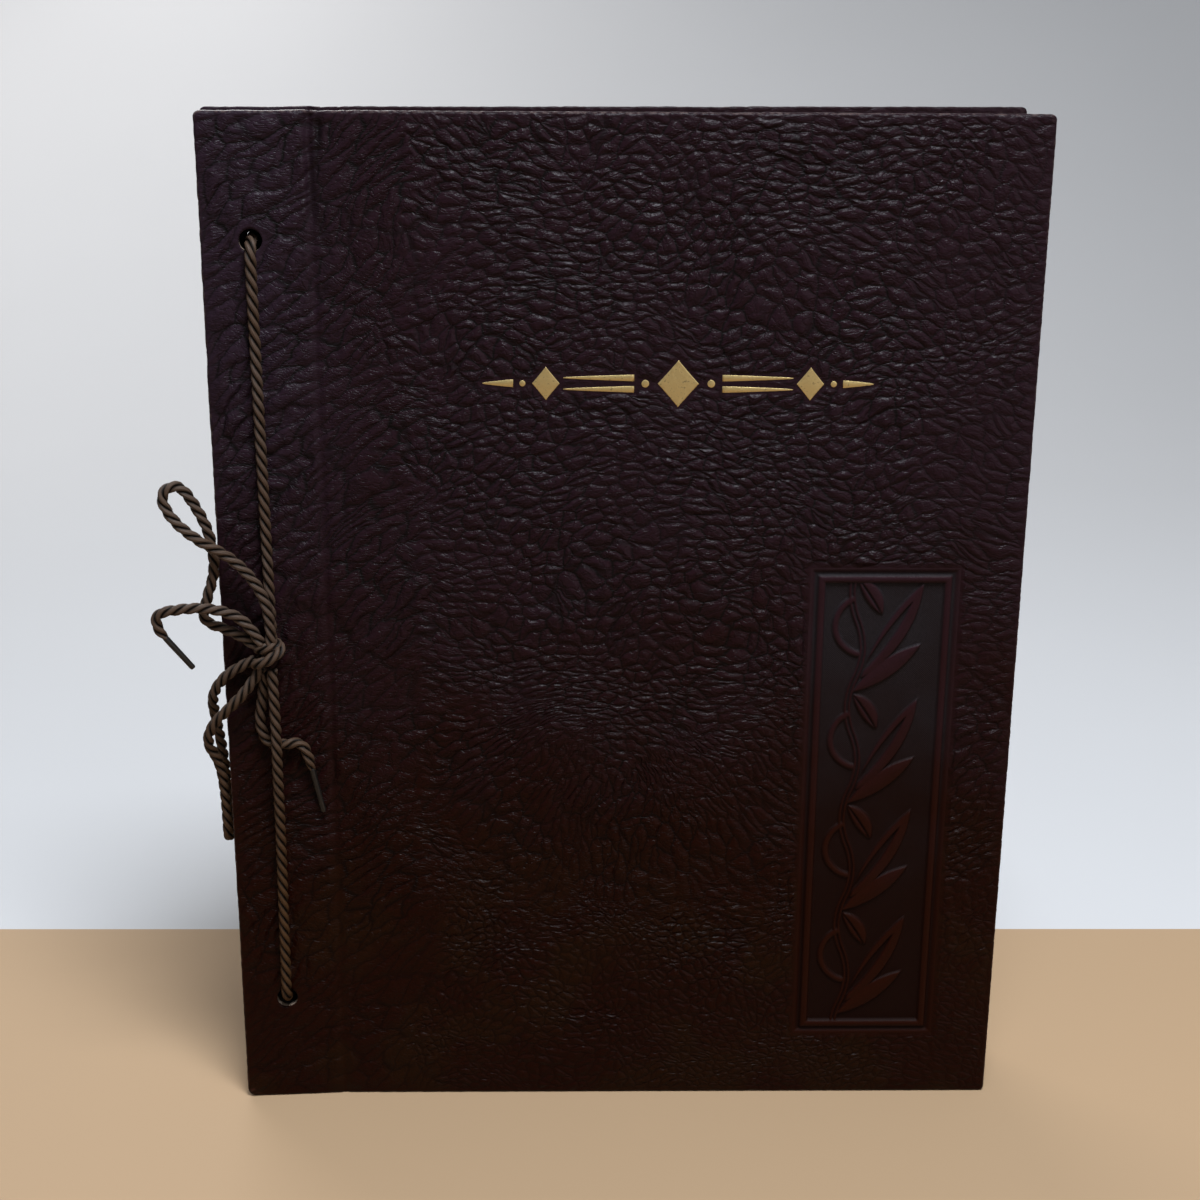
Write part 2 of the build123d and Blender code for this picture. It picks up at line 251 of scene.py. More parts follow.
class StageLook(bpy.types.PropertyGroup):
    """Floor, backdrop, lights and camera"""

    floor_tone: colour("Floor tone", "Colour of the floor", (0.370, 0.248, 0.148))
    wall_tone: colour("Wall tone", "Colour of the backdrop", (0.515, 0.508, 0.515))
    paper_y: length("Paper edge", "Where the pale backdrop starts on the floor", 0.0945)
    slant: share("Slant", "How much nearer the backdrop is at the right", 0.072)
    wall_y: length("Wall distance", "Distance of the upright part of the backdrop", 1.9)
    bend: length("Bend", "Radius of the backdrop's bend from floor to wall", 1.2)
    key_power: power("Key power", "Power of the light above", 21.0)
    fill_power: power("Fill power", "Power of the light in front", 5.0)
    rear_power: power("Rear power", "Power of the light behind", 12.0)
    sky: share("Sky", "Strength of the light from all round", 0.28)
    lens: setting(FloatProperty, unit="CAMERA")("Lens", "Focal length of the camera in millimetres", 58.04)
    eye: setting(FloatVectorProperty, unit="LENGTH")("Eye", "Place of the camera", (-0.0488, -0.50175, 0.31304))
    pitch: angle("Pitch", "How far the camera looks down", radians(17.966))
    yaw: angle("Yaw", "How far the camera looks right", radians(4.916))
    roll: angle("Roll", "How far the camera leans", radians(0.364))


def smooth(value, low, high):
    """Share that goes from nought at low to one at high with level ends."""
    part = np.clip((value - low) / (high - low), 0, 1)
    return part * part * (3 - 2 * part)


def lines_between(stops, step):
    """Mesh lines through every stop, evenly spaced between two stops and no further apart than a step."""
    runs = []
    for low, high in zip(stops, stops[1:]):
        amount = max(1, int(np.ceil((high - low) / step - 1e-6)))
        runs.append(np.linspace(low, high, amount + 1)[:-1])
    return np.concatenate([*runs, [stops[-1]]])


def set_inputs(node, inputs):
    """Links each input of a node to a field, or gives it a plain value."""
    for name, value in inputs.items():
        if isinstance(value, Field):
            node.id_data.links.new(value.socket, node.inputs[name])
        else:
            node.inputs[name].default_value = value


def add_node(tree, kind, inputs=None, out=0, **settings):
    """Adds a node to a tree and gives one of its outputs."""
    made = tree.nodes.new(kind)
    for name, value in settings.items():
        setattr(made, name, value)
    set_inputs(made, inputs or {})
    return Field(made.outputs[out])


class Field:
    """Output of a node. Sums, products and the methods here add the nodes that they stand for."""

    def __init__(self, socket):
        self.socket = socket
        self.is_number = socket.type == "VALUE"

    def node(self, kind, inputs, out=0, **settings):
        """Adds a node to the same tree."""
        return add_node(self.socket.id_data, kind, inputs, out, **settings)

    def beside(self, name):
        """Another output of the same node."""
        return Field(self.socket.node.outputs[name])

    def math(self, operation, second=0.0):
        """Result of an operation on numbers, or on vectors where this is one."""
        kind = "ShaderNodeMath" if self.is_number else "ShaderNodeVectorMath"
        return self.node(kind, {0: self, 1: second}, operation=operation)

    def measure(self, operation, second=(0, 0, 0)):
        """Number that comes from one or two vectors."""
        return self.node("ShaderNodeVectorMath", {0: self, 1: second}, "Value", operation=operation)

    def __add__(self, other):
        return self.math("ADD", other)

    def __sub__(self, other):
        return self.math("SUBTRACT", other)

    def __rsub__(self, other):
        return self.node("ShaderNodeMath", {0: other, 1: self}, operation="SUBTRACT")

    def __mul__(self, other):
        by_number = other.is_number if isinstance(other, Field) else isinstance(other, float)
        if by_number and not self.is_number:
            return self.node("ShaderNodeVectorMath", {0: self, "Scale": other}, operation="SCALE")
        return self.math("MULTIPLY", other)

    def __abs__(self):
        return self.math("ABSOLUTE")

    def parts(self):
        """The three numbers of a vector."""
        split = self.node("ShaderNodeSeparateXYZ", {0: self}).socket.node
        return [Field(part) for part in split.outputs]

    def join(self, second):
        """Vector from this number and a second one."""
        return self.node("ShaderNodeCombineXYZ", {0: self, 1: second})

    def ramp(self, low, high, start=0.0, end=1.0):
        """Number that goes from a start to an end while this goes from low to high, with level ends."""
        inputs = {0: self, 1: low, 2: high, 3: start, 4: end}
        return self.node("ShaderNodeMapRange", inputs, interpolation_type="SMOOTHSTEP")

    def mix(self, first, second):
        """Number between two others, by this share."""
        return self.node("ShaderNodeMix", {0: self, 2: first, 3: second}, data_type="FLOAT")

    def tint(self, first, second):
        """Colour between two others, by this share."""
        first, second = (tone if isinstance(tone, Field) else (*tone, 1.0) for tone in (first, second))
        return self.node("ShaderNodeMix", {0: self, 6: first, 7: second}, 2, data_type="RGBA")

    def noise(self, scale, detail=2.0, out=0):
        """Cloudy number, or colour from the second output."""
        return self.node("ShaderNodeTexNoise", {"Vector": self, "Scale": scale, "Detail": detail}, out)

    def swirl(self, scale, reach, detail=1.0):
        """Offset of up to a reach in every direction that changes slowly from place to place."""
        return (self.noise(scale, detail, out=1) - MIDDLE) * (2 * reach)

    def cells(self, feature="DISTANCE_TO_EDGE"):
        """Distance from the edge of a random cell, or another feature of the cell."""
        inputs = {"Vector": self, "Scale": 1.0}
        return self.node("ShaderNodeTexVoronoi", inputs, feature=feature, voronoi_dimensions="2D")


def pebbles(place):
    """Height and edge distance of pebbles a unit across, rounded, each with its own lean and level."""
    edge, cell = place.cells(), place.cells("F1")
    chance = cell.beside("Color") - MIDDLE
    lean = (place - cell.beside("Position")).measure("DOT_PRODUCT", chance)
    round_top = edge.ramp(0.0, 0.40).math("POWER", 0.75)
    return round_top + lean * 0.5 + chance.parts()[2] * 0.2, edge


def leather_grain(place, look):
    """Height of the hide's grain, about one on top of a pebble, and its creases, one at the bottom of a crease.

    The place is in millimetres, right and up. Pebbles lie level over the board, finer near the tail,
    lean on the strip and fan out from the fold in the lower half of the board.
    """
    long, high = look.pebble_length / MM, look.pebble_height / MM
    bent = place + place.swirl(0.022, 12.0) + place.swirl(0.11, 2.2, 2.0) + place.swirl(0.4, 0.45)
    leant = bent.node("ShaderNodeVectorRotate", {"Vector": bent, "Angle": STRIP_LEAN}, rotation_type="Z_AXIS")
    level = pebbles(bent * (1 / long, 1 / high, 1))
    fine = pebbles(bent * (1.6 / long, 1.35 / high, 1))
    leaning = pebbles(leant * (0.45 / long, 0.85 / high, 1))
    from_fold = bent - FOLD
    reach = from_fold.measure("LENGTH")
    fold_x, fold_z, _ = from_fold.parts()
    out = (reach + 6.0).math("LOGARITHM", 2.718) * 7.5
    fanned = pebbles(out.join(fold_z.math("ARCTAN2", fold_x) * 17.0))

    right, up, _ = place.parts()
    by_tail = (up + place.noise(0.05) * 50.0).ramp(78.0, 96.0, 1.0, 0.0)
    on_strip = (right + place.noise(0.06) * 60.0).ramp(-30.0, -20.0, 1.0, 0.0)
    ragged = reach + place.noise(0.08) * 50.0
    by_fold = ragged.ramp(84.0, 98.0, 1.0, 0.0) * ragged.ramp(44.0, 56.0) * fold_z.ramp(-10.0, 4.0, 1.0, 0.0)
    height, edge = (by_fold.mix(on_strip.mix(by_tail.mix(plain, small), slanted), spread)
                    for plain, small, slanted, spread in zip(level, fine, leaning, fanned))

    wrinkle = abs((bent * (0.28, 0.75, 1)).noise(1.0) - 0.5).ramp(0.0, 0.09)
    folds = (bent * (0.27 / long, 0.30 / high, 1)).cells().ramp(0.0, 0.08)
    folds = place.noise(0.045).ramp(0.40, 0.58).mix(1.0, folds)
    by_crease = abs(bent.parts()[0] - crease_x / MM)
    pinch = by_crease.ramp(0.3, 2.6, 1.0, 0.0) * up.ramp(236.0, 262.0)
    height = height * 0.66 + wrinkle * 0.16 + folds * 0.18 - pinch * 0.5
    patchy = (place + (37.0, 0.0, 0.0)).noise(0.035).ramp(0.36, 0.60, 0.8, 1.1)
    strength = right.ramp(60.0, 104.0, 1.0, 0.72) * up.ramp(5.0, 80.0, 0.6, 1.0) * patchy
    crease = edge.ramp(0.0, 0.11, 0.9, 0.0).math("MAXIMUM", (1.0 - folds) * 0.6)
    crease = crease.math("MAXIMUM", wrinkle.ramp(0.0, 0.5, 0.3, 0.0))
    return strength.mix(0.75, height), (crease * strength).math("MAXIMUM", pinch * 0.7)


class Finish:
    """Node material in the making: its place, the values kept on its mesh, and its surface."""

    def __init__(self, name):
        self.material = bpy.data.materials.new(name)
        self.material.use_nodes = True
        self.tree = self.material.node_tree

    def place(self, unit=MM):
        """Place on the piece, which moves with it."""
        return add_node(self.tree, "ShaderNodeTexCoord", out="Object") * (1 / unit)

    def kept(self, name, out="Fac"):
        """Value that the mesh keeps at its points."""
        return add_node(self.tree, "ShaderNodeAttribute", out=out, attribute_name=name)

    def surface(self, bump=(), **values):
        """Sets the surface's inputs, spelt with low lines for spaces, and gives the material.

        A bump is its height, the distance that one unit of it stands for, and its strength.
        """
        if bump:
            inputs = dict(zip(("Height", "Distance", "Strength"), bump))
            values["Normal"] = add_node(self.tree, "ShaderNodeBump", inputs)
        values = {name.replace("_", " "): value for name, value in values.items()}
        set_inputs(self.tree.nodes["Principled BSDF"], values)
        return self.material


def times(tone, gain):
    """Colour made darker or lighter."""
    return [gain * part for part in tone]


def tail_to_head_tone(at, tail, head):
    """Mottled colour that fades from the tail to the head."""
    height = at.parts()[2] + (at.noise(0.05, 4.0) - 0.5) * 90.0
    return height.ramp(60.0, 200.0).tint(tail, head)


def panel_material(look):
    """Pressed leather: a dark ground with a fine weave, and raised parts rubbed back to the oxblood."""
    finish = Finish("panel_leather")
    at, raised = finish.place(), finish.kept("wear")
    right, _, up = at.parts()
    weave = (right * 10.0).math("SINE") * (up * 11.0).math("SINE")
    pores = at.noise(2.2, 4.0)
    # The dark pressed ground, lighter and bluer towards the head, partly as painted sheen.
    ground = tail_to_head_tone(at, times(look.deep_tone, 0.75), times(look.ground, 0.9))
    shade = tail_to_head_tone(at, times(look.deep_tone, 0.25), look.shade)
    ground = pores.ramp(0.35, 0.65, 0.0, 0.45).tint(ground, shade)
    ground = weave.ramp(-1.0, 1.0, 0.3, 0.0).tint(ground, shade)
    # Raised parts take the cover's tone, with its partly painted bluish reflection at the head.
    rubbed = tail_to_head_tone(at, times(look.deep_tone, 1.3), times(look.tone, 1.35))
    rubbed = pores.ramp(0.45, 0.7, 0.0, 0.3).tint(rubbed, shade)
    tone = raised.tint(ground, rubbed)
    rough = raised.mix(look.roughness + 0.15, look.roughness) + pores * 0.1
    bump = weave * 0.5 * (1.0 - raised) + pores, 0.00010, 0.9
    return finish.surface(bump, Base_Color=tone, Roughness=rough, Specular_IOR_Level=look.specular)


def leather_material(look):
    """Pebbled oxblood leather, with painted shade in its creases, and its edges rubbed and partly given a painted
    sheen.
    """
    finish = Finish("cover_leather")
    at, relief, wear = finish.place(), finish.kept("relief"), finish.kept("wear")
    right, _, up = at.parts()
    height, crease = leather_grain(right.join(up), look)
    pores, deep = at.noise(2.6, 3.0), crease * relief
    shade = tail_to_head_tone(at, times(look.deep_tone, 0.25), look.shade)
    # Painted sheen on the strip towards the head, in place of a reflection.
    spine_sheen_share = right.ramp(-96.0, -62.0, 0.45, 0.0) * up.ramp(140.0, 230.0)
    # Colour by height, partly painted reflection: the bluish head end stands for the sky's reflection on the upper
    # cover.
    tone = spine_sheen_share.tint(tail_to_head_tone(at, look.deep_tone, look.tone), look.spine_tone)
    stained = at.noise(0.045, 4.0).ramp(0.45, 0.62) * up.ramp(40.0, 110.0, 1.0, 0.0)
    # Painted shade: the creases of the grain, pinched deeper at the head, are darkened towards the shade colour.
    tone = deep.tint(stained.tint(tone, look.stain), shade)
    tone = (pores.ramp(0.35, 0.6) * 0.25).tint(tone, shade)
    # Worn edges, partly painted sheen: the grey rubbed colour at the head also stands for the highlight on the rolled
    # top edge.
    rubbed_edge_and_sheen = wear * at.noise(0.7, 4.0).ramp(0.38, 0.68)
    tone = rubbed_edge_and_sheen.ramp(0.05, 0.75).tint(tone, tail_to_head_tone(at, look.scuffed, look.rubbed))
    bare = (wear + at.noise(1.1, 3.0) * 0.8).ramp(1.55, 1.95)
    tone = bare.tint(tone, look.bared)
    rough = deep.mix(look.roughness, look.roughness + 0.16) + (pores - 0.5) * 0.25
    lines = (at * (0.8, 1.0, 1.5)).noise(1.0, 3.0)
    bump = height * relief + (pores * 0.09 + lines * 0.22), look.bump, 1.0
    return finish.surface(bump, Base_Color=tone, Roughness=rough, Specular_IOR_Level=look.specular)


def bared_board_material(look):
    """Fibrous greyboard seen in a punched hole."""
    finish = Finish("bared_board")
    layers = (finish.place() * (1.2, 6.0, 1.2)).noise(1.0, 4.0)
    tone = layers.ramp(0.3, 0.7).tint(times(look.bared, 0.4), look.bared)
    return finish.surface((layers, 0.0002, 0.8), Base_Color=tone, Roughness=0.9)


def paper_material(name, tone, between):
    """Uncoated paper with fibres and cloudy tone; the value kept on the mesh paints shade into the gaps between leaves
    and black shade into the holes.
    """
    finish = Finish(name)
    at, gap = finish.place(), finish.kept("wear")
    fibre = (at * (1.0, 1.0, 4.0)).noise(1.1, 5.0)
    shown = at.noise(0.04, 4.0).ramp(0.3, 0.7).tint(times(tone, 0.88), tone)
    shown = (fibre.ramp(0.45, 0.75) * 0.25).tint(shown, between)
    # Painted shade in the gaps between leaves, and painted black shade in the holes.
    shown = gap.tint(shown, between)
    shown = gap.ramp(0.85, 1.0).tint(shown, times(between, 0.02))
    return finish.surface((fibre, 0.00006, 0.6), Base_Color=shown, Roughness=0.85, Specular_IOR_Level=0.25)


def lace_material(look):
    """Mercerised yarn: fine fibres that run along each strand, with painted shade towards its sides where the strands
    meet.
    """
    finish = Finish("lace_yarn")
    around, along, _ = finish.kept("yarn", "Vector").parts()
    slant = around + along * 0.55
    fibre = (slant * 5.0).join(along * 0.35).noise(1.0, 3.0)
    at = finish.place()
    tone = at.parts()[2].ramp(60.0, 150.0).tint(look.low_tone, look.tone)
    tone = at.noise(0.09, 3.0).ramp(0.3, 0.7, 0.0, 0.4).tint(tone, look.low_tone)
    tone = fibre.ramp(0.52, 0.75, 0.0, 0.7).tint(tone, look.dark_tone)
    # Painted shade towards the sides of each strand, where the strands meet.
    tone = around.math("COSINE").ramp(-0.1, 0.85, 1.0, 0.0).tint(tone, look.dark_tone)
    bump = fibre + (slant * 9.0).math("SINE") * 0.18, 0.00012, 0.9
    return finish.surface(bump, Base_Color=tone, Roughness=0.55, Specular_IOR_Level=0.15)


def tip_material(look):
    """Thin sheath with long scratches and a dull sheen."""
    finish = Finish("tip_sheath")
    around, along, _ = finish.kept("yarn", "Vector").parts()
    scratch = (around * 2.2).join(along * 0.25).noise(1.6, 4.0)
    tone = scratch.ramp(0.35, 0.7).tint(times(look.tip_tone, 0.45), times(look.tip_tone, 1.5))
    rough = scratch.ramp(0.3, 0.7, 0.5, 0.28)
    return finish.surface((scratch, 0.00005, 0.5), Base_Color=tone, Roughness=rough, Metallic=0.55)


def gilt_material(sizes):
    """Gold foil, a little worn where the grain comes through."""
    finish = Finish("gilt_foil")
    at = finish.place()
    worn = at.noise(1.3, 4.0)
    tone = worn.ramp(0.58, 0.72, 0.0, 0.7).tint(sizes.tone, times(sizes.tone, 0.25))
    rough = worn.ramp(0.3, 0.7, 0.32, 0.5)
    return finish.surface((at.noise(3.0), 0.00005, 0.5), Base_Color=tone, Roughness=rough, Metallic=0.8)


def plain_material(name, tone, roughness):
    """Plain pale finish of the stage, with a faint cloud in it."""
    finish = Finish(name)
    shown = finish.place(1.0).noise(3.0, 3.0).ramp(0.3, 0.7).tint(times(tone, 0.98), tone)
    return finish.surface(Base_Color=shown, Roughness=roughness, Specular_IOR_Level=0.2)


def front_place(x, depth, z):
    """Places of the front cover, from distance right, depth under its face and height, set ajar."""
    half = bpy.context.scene.laced_covers.crease_width / 2
    turn = ajar_turn * smooth(x, crease_x - half, crease_x + half)
    across, under = x - crease_x, front_y + depth - crease_y
    ajar_x = crease_x + across * np.cos(turn) - under * np.sin(turn)
    return np.stack([ajar_x, crease_y + across * np.sin(turn) + under * np.cos(turn), z], -1)


def back_place(x, depth, z):
    """Places of the back cover, from distance right, depth under its face and height."""
    return np.stack([x, back_y - depth, z], -1)


class Patchwork:
    """Collects the points and faces of one mesh, with a value of grain relief at each point and one that marks worn
    edges, raised parts and painted shade.
    """

    def __init__(self):
        self.points, self.relief, self.wear = [], [], []
        self.faces, self.finishes, self.fills = [], [], []
        self.count = 0

    def add(self, points, relief=0.0, wear=0.0):
        """Adds points and returns their numbers in the same layout."""
        layout = points.shape[:-1]
        first, self.count = self.count, self.count + int(np.prod(layout))
        self.points.append(points.reshape(-1, 3))
        self.relief.append(np.broadcast_to(relief, layout).ravel())
        self.wear.append(np.broadcast_to(wear, layout).ravel())
        return np.arange(first, self.count).reshape(layout)

    def grid(self, numbers, keep=None, finish=0):
        """Four-sided faces between the points of a grid, where keep marks the cells that stay."""
        cells = np.stack([numbers[:-1, :-1], numbers[1:, :-1], numbers[1:, 1:], numbers[:-1, 1:]], -1)
        cells = cells.reshape(-1, 4) if keep is None else cells[keep]
        self.faces += cells.tolist()
        self.finishes += [finish] * len(cells)

    def bridge(self, rings, closed=False, finish=0):
        """Faces between one ring and the next."""
        numbers = np.stack(rings)
        if closed:
            numbers = np.concatenate([numbers, numbers[:, :1]], 1)
        self.grid(numbers, finish=finish)

    def polygon(self, ring):
        """One face inside a ring."""
        self.faces.append(list(map(int, ring)))
        self.finishes.append(0)

    def fill(self, *loops):
        """A flat face inside the first loop and outside the other loops, made when the mesh is built."""
        self.fills.append([list(map(int, loop)) for loop in loops])

    def build(self, name, *materials):
        """Object with the collected mesh, smooth, with its faces turned outwards."""
        mesh = bpy.data.meshes.new(name)
        mesh.from_pydata(np.concatenate(self.points).tolist(), [], self.faces)
        for material in materials:
            mesh.materials.append(material)
        mesh.polygons.foreach_set("material_index", self.finishes)
        for value in ("relief", "wear"):
            layer = mesh.attributes.new(value, "FLOAT", "POINT")
            layer.data.foreach_set("value", np.concatenate(getattr(self, value)).astype(np.float32))
        shape = bmesh.new()
        shape.from_mesh(mesh)
        shape.verts.ensure_lookup_table()
        for loops in self.fills:
            edges = []
            for loop in loops:
                for start, end in zip(loop, loop[1:] + loop[:1]):
                    ends = (shape.verts[start], shape.verts[end])
                    edges.append(shape.edges.get(ends) or shape.edges.new(ends))
            bmesh.ops.triangle_fill(shape, edges=edges, use_beauty=True)
        loose = [point for point in shape.verts if not point.link_faces]
        bmesh.ops.delete(shape, geom=loose, context="VERTS")
        bmesh.ops.recalc_face_normals(shape, faces=shape.faces)
        shape.to_mesh(mesh)
        shape.free()
        mesh.shade_smooth()
        made = bpy.data.objects.new(name, mesh)
        bpy.context.scene.collection.objects.link(made)
        return made


def press_grain(piece, look):
    """Raises the grain in the piece's mesh with the same nodes that shade it."""
    tree = bpy.data.node_groups.new("press_grain", "GeometryNodeTree")
    for way in ("INPUT", "OUTPUT"):
        tree.interface.new_socket("Geometry", in_out=way, socket_type="NodeSocketGeometry")
    right, _, up = (add_node(tree, "GeometryNodeInputPosition") * (1 / MM)).parts()
    height, _ = leather_grain(right.join(up), look)
    relief = add_node(tree, "GeometryNodeInputNamedAttribute", {"Name": "relief"}, data_type="FLOAT")
    lift = (height - GRAIN_LEVEL) * (relief * look.relief)
    inputs = {"Geometry": add_node(tree, "NodeGroupInput"), "Offset": add_node(tree, "GeometryNodeInputNormal") * lift}
    moved = add_node(tree, "GeometryNodeSetPosition", inputs)
    set_inputs(tree.nodes.new("NodeGroupOutput"), {0: moved})
    piece.modifiers.new("press_grain", "NODES").node_group = tree
    pressed = bpy.data.meshes.new_from_object(piece.evaluated_get(bpy.context.evaluated_depsgraph_get()))
    piece.modifiers.clear()
    piece.data = pressed
    bpy.data.node_groups.remove(tree)


def edge_lines(low, high, radius, step, inner_stops=(), fine_low=True, fine_high=True):
    """Mesh lines across a cover part, closer together next to a wrapped edge."""
    near = np.array([0.0, 0.25, 0.6, 1.1, 1.8]) * MM
    starts = list(low + radius + near) if fine_low else [low]
    ends = list((high - radius - near)[::-1]) if fine_high else [high]
    return lines_between([*starts, *inner_stops, *ends], step)


def within(x, z, edges):
    """Distance inside the nearest edge of a rectangle, negative outside it."""
    left, right, low, high = edges
    return np.minimum(np.minimum(x - left, right - x), np.minimum(z - low, high - z))


def cover_part(place, columns, rows, spine_side, tail_radius, face_depth, back_depth, relief, opening=None):
    """Leather over one strip or board: its face, the leather rolled over three edges, and its inner side.

    The fourth edge is the seam in the crease, where the strip and the board meet. A strip has the holes.
    """
    sizes = bpy.context.scene.laced_covers
    patch = Patchwork()
    x, z = np.meshgrid(columns, rows, indexing="ij")
    keep = np.ones((len(columns) - 1, len(rows) - 1), bool)
    middle_x, middle_z = np.meshgrid((columns[1:] + columns[:-1]) / 2, (rows[1:] + rows[:-1]) / 2, indexing="ij")
    side, outer = (-1, 0) if spine_side else (1, len(columns) - 1)
    edge_x = columns[outer]
    out_x, out_z = np.zeros_like(x), np.zeros_like(x)
    out_x[outer], out_z[:, 0], out_z[:, -1] = side, -1, 1
    out_x[:, 0], out_x[:, -1] = 0, 0
    depth, back = face_depth(x, z), back_depth(x)

    for end, edge_z, radius in ((-1, rows[0], tail_radius), (1, rows[-1], sizes.corner_radius)):
        arc = radius - sizes.edge_radius
        across = np.maximum(0, side * (x - edge_x) + arc)
        up = np.maximum(0, end * (z - edge_z) + arc)
        rounded = (across > 0) & (up > 0)
        slant = np.where(rounded, np.hypot(across, up), 1)
        out_x[rounded], out_z[rounded] = (side * across / slant)[rounded], (end * up / slant)[rounded]
        reach = np.maximum(across, up) / slant
        x = np.where(rounded, edge_x - side * arc + side * across * reach, x)
        z = np.where(rounded, edge_z - end * arc + end * up * reach, z)

    hole_radius = sizes.hole_diameter / 2
    for hole_z in hole_heights if spine_side else ():
        across, up = x - hole_x, z - hole_z
        square, distance = np.maximum(abs(across), abs(up)), np.maximum(np.hypot(across, up), 1e-9)
        stretch = 1 + (1 - smooth(square, hole_radius + MM, HOLE_BLEND * hole_radius)) * (square / distance - 1)
        x, z = hole_x + across * stretch, hole_z + up * stretch
        keep &= np.maximum(abs(middle_x - hole_x), abs(middle_z - hole_z)) > hole_radius
    if opening:
        keep &= within(middle_x, middle_z, opening) <= 0

    worn = corner_wear(x, z)
    face = patch.add(place(x, depth, z), relief(x, z), worn)
    patch.grid(face, keep)

    from_seam = np.arange(len(columns))[::-1] if spine_side else np.arange(len(columns))
    upright = np.arange(1, len(rows) - 1)
    i = np.concatenate([from_seam, np.full(len(upright), outer), from_seam[::-1]])
    j = np.concatenate([np.zeros(len(columns), int), upright, np.full(len(columns), len(rows) - 1)])
    rim_depth, rim_back = depth[i, j], back[i, j]
    room = rim_back - rim_depth
    roll, tuck = np.minimum(sizes.edge_radius, 0.4 * room), np.minimum(TUCK, 0.3 * room)
    rings = [face[i, j]]

    def ring(offset, at_depth, rubbed):
        at_x, at_z = x[i, j] + out_x[i, j] * offset, z[i, j] + out_z[i, j] * offset
        rings.append(patch.add(place(at_x, at_depth, at_z), EDGE_RELIEF, np.maximum(rubbed, worn[i, j])))

    for turn in np.linspace(0, pi / 2, 6)[1:]:
        ring(sizes.edge_radius * sin(turn), rim_depth + roll * (1 - cos(turn)), sin(turn))
    for turn in np.linspace(0, pi / 2, 4):
        ring(sizes.edge_radius - tuck * (1 - cos(turn)), rim_back - tuck * (1 - sin(turn)), 0.6 * cos(turn))
    ring(sizes.edge_radius - tuck - TURN_IN, rim_back, 0)
    patch.bridge(rings)

    inner = rings[-1]
    if not spine_side:
        patch.polygon(inner)
        return patch
    rungs = int(np.sum(columns > crease_x - 1.2 * MM))
    patch.bridge([inner[:rungs + 1], inner[::-1][:rungs + 1]])
    loops = [punched_hole(patch, face, columns, rows, x, z, hole_z, place) for hole_z in hole_heights]
    patch.fill(inner[rungs:-rungs], *loops)
    return patch


def punched_hole(patch, face, columns, rows, x, z, hole_z, place):
    """Raw wall of a punched hole, and the loop where it comes out on the inner side."""
    sizes = bpy.context.scene.laced_covers
    radius = sizes.hole_diameter / 2
    i0, i1 = (int(np.argmin(abs(columns - hole_x - s * radius))) for s in (-1, 1))
    j0, j1 = (int(np.argmin(abs(rows - hole_z - s * radius))) for s in (-1, 1))
    wide, high = np.arange(i0, i1), np.arange(j0, j1)
    i = np.concatenate([wide, np.full(len(high), i1), wide[::-1] + 1, np.full(len(high), i0)])
    j = np.concatenate([np.full(len(wide), j0), high, np.full(len(wide), j1), high[::-1] + 1])
    across, up = x[i, j] - hole_x, z[i, j] - hole_z

    def ring(stretch, depth):
        at_x, at_z = hole_x + across * stretch, hole_z + up * stretch
        return patch.add(place(at_x, np.full(len(i), depth), at_z), HOLE_RELIEF, 0.4)

    rag = 1 + 0.012 * np.sin(np.arange(len(i)) * 2.4) + 0.01 * np.sin(np.arange(len(i)) * 5.1 + 1)
    lip = [face[i, j], ring(0.985, 0.10 * MM), ring(0.965, 0.28 * MM), ring(0.97, 0.5 * MM)]
    patch.bridge(lip, closed=True)
    wall = [lip[-1], ring(0.99 * rag, 0.6 * MM), ring(0.985 * rag[::-1], 1.4 * MM), ring(1.0, sizes.strip_thickness)]
    patch.bridge(wall, closed=True, finish=1)
    return wall[-1]


def corner_wear(x, z):
    """Wear that eats into the leather at the tail corner of the spine edge and a little at the fore corners."""
    def near(corner_x, corner_z, reach):
        return 1 - smooth(np.hypot(x - corner_x, z - corner_z), 0.2 * reach, reach)

    fore = np.maximum(near(fore_x, cover_height, 4 * MM), near(fore_x, 0, 4 * MM))
    return np.maximum(1.25 * near(spine_x, 0, 5 * MM), 0.45 * fore)


def crease_profile(x, z):
    """Depth of the crease under the cover's face, pinched deeper at the head."""
    sizes = bpy.context.scene.laced_covers
    wander = 0.12 * MM * np.sin(z / (9 * MM)) + 0.08 * MM * np.sin(z / (3.7 * MM) + 1)
    valley = 0.5 + 0.5 * np.cos(np.clip((x - crease_x - wander) / (sizes.crease_width / 2), -1, 1) * pi)
    pinch = 1 + 1.6 * smooth(z, cover_height - 38 * MM, cover_height - 8 * MM)
    return sizes.crease_depth * valley * pinch


def panel_edges(with_lip=False):
    """Left, right, low and high edges of the panel's bead, or of the groove and lip round it."""
    sizes = bpy.context.scene.laced_panel
    right, low = fore_x - sizes.from_fore, sizes.from_tail
    margin = sizes.groove_width + sizes.lip_width if with_lip else 0
    return right - sizes.width - margin, right + margin, low - margin, low + sizes.height + margin


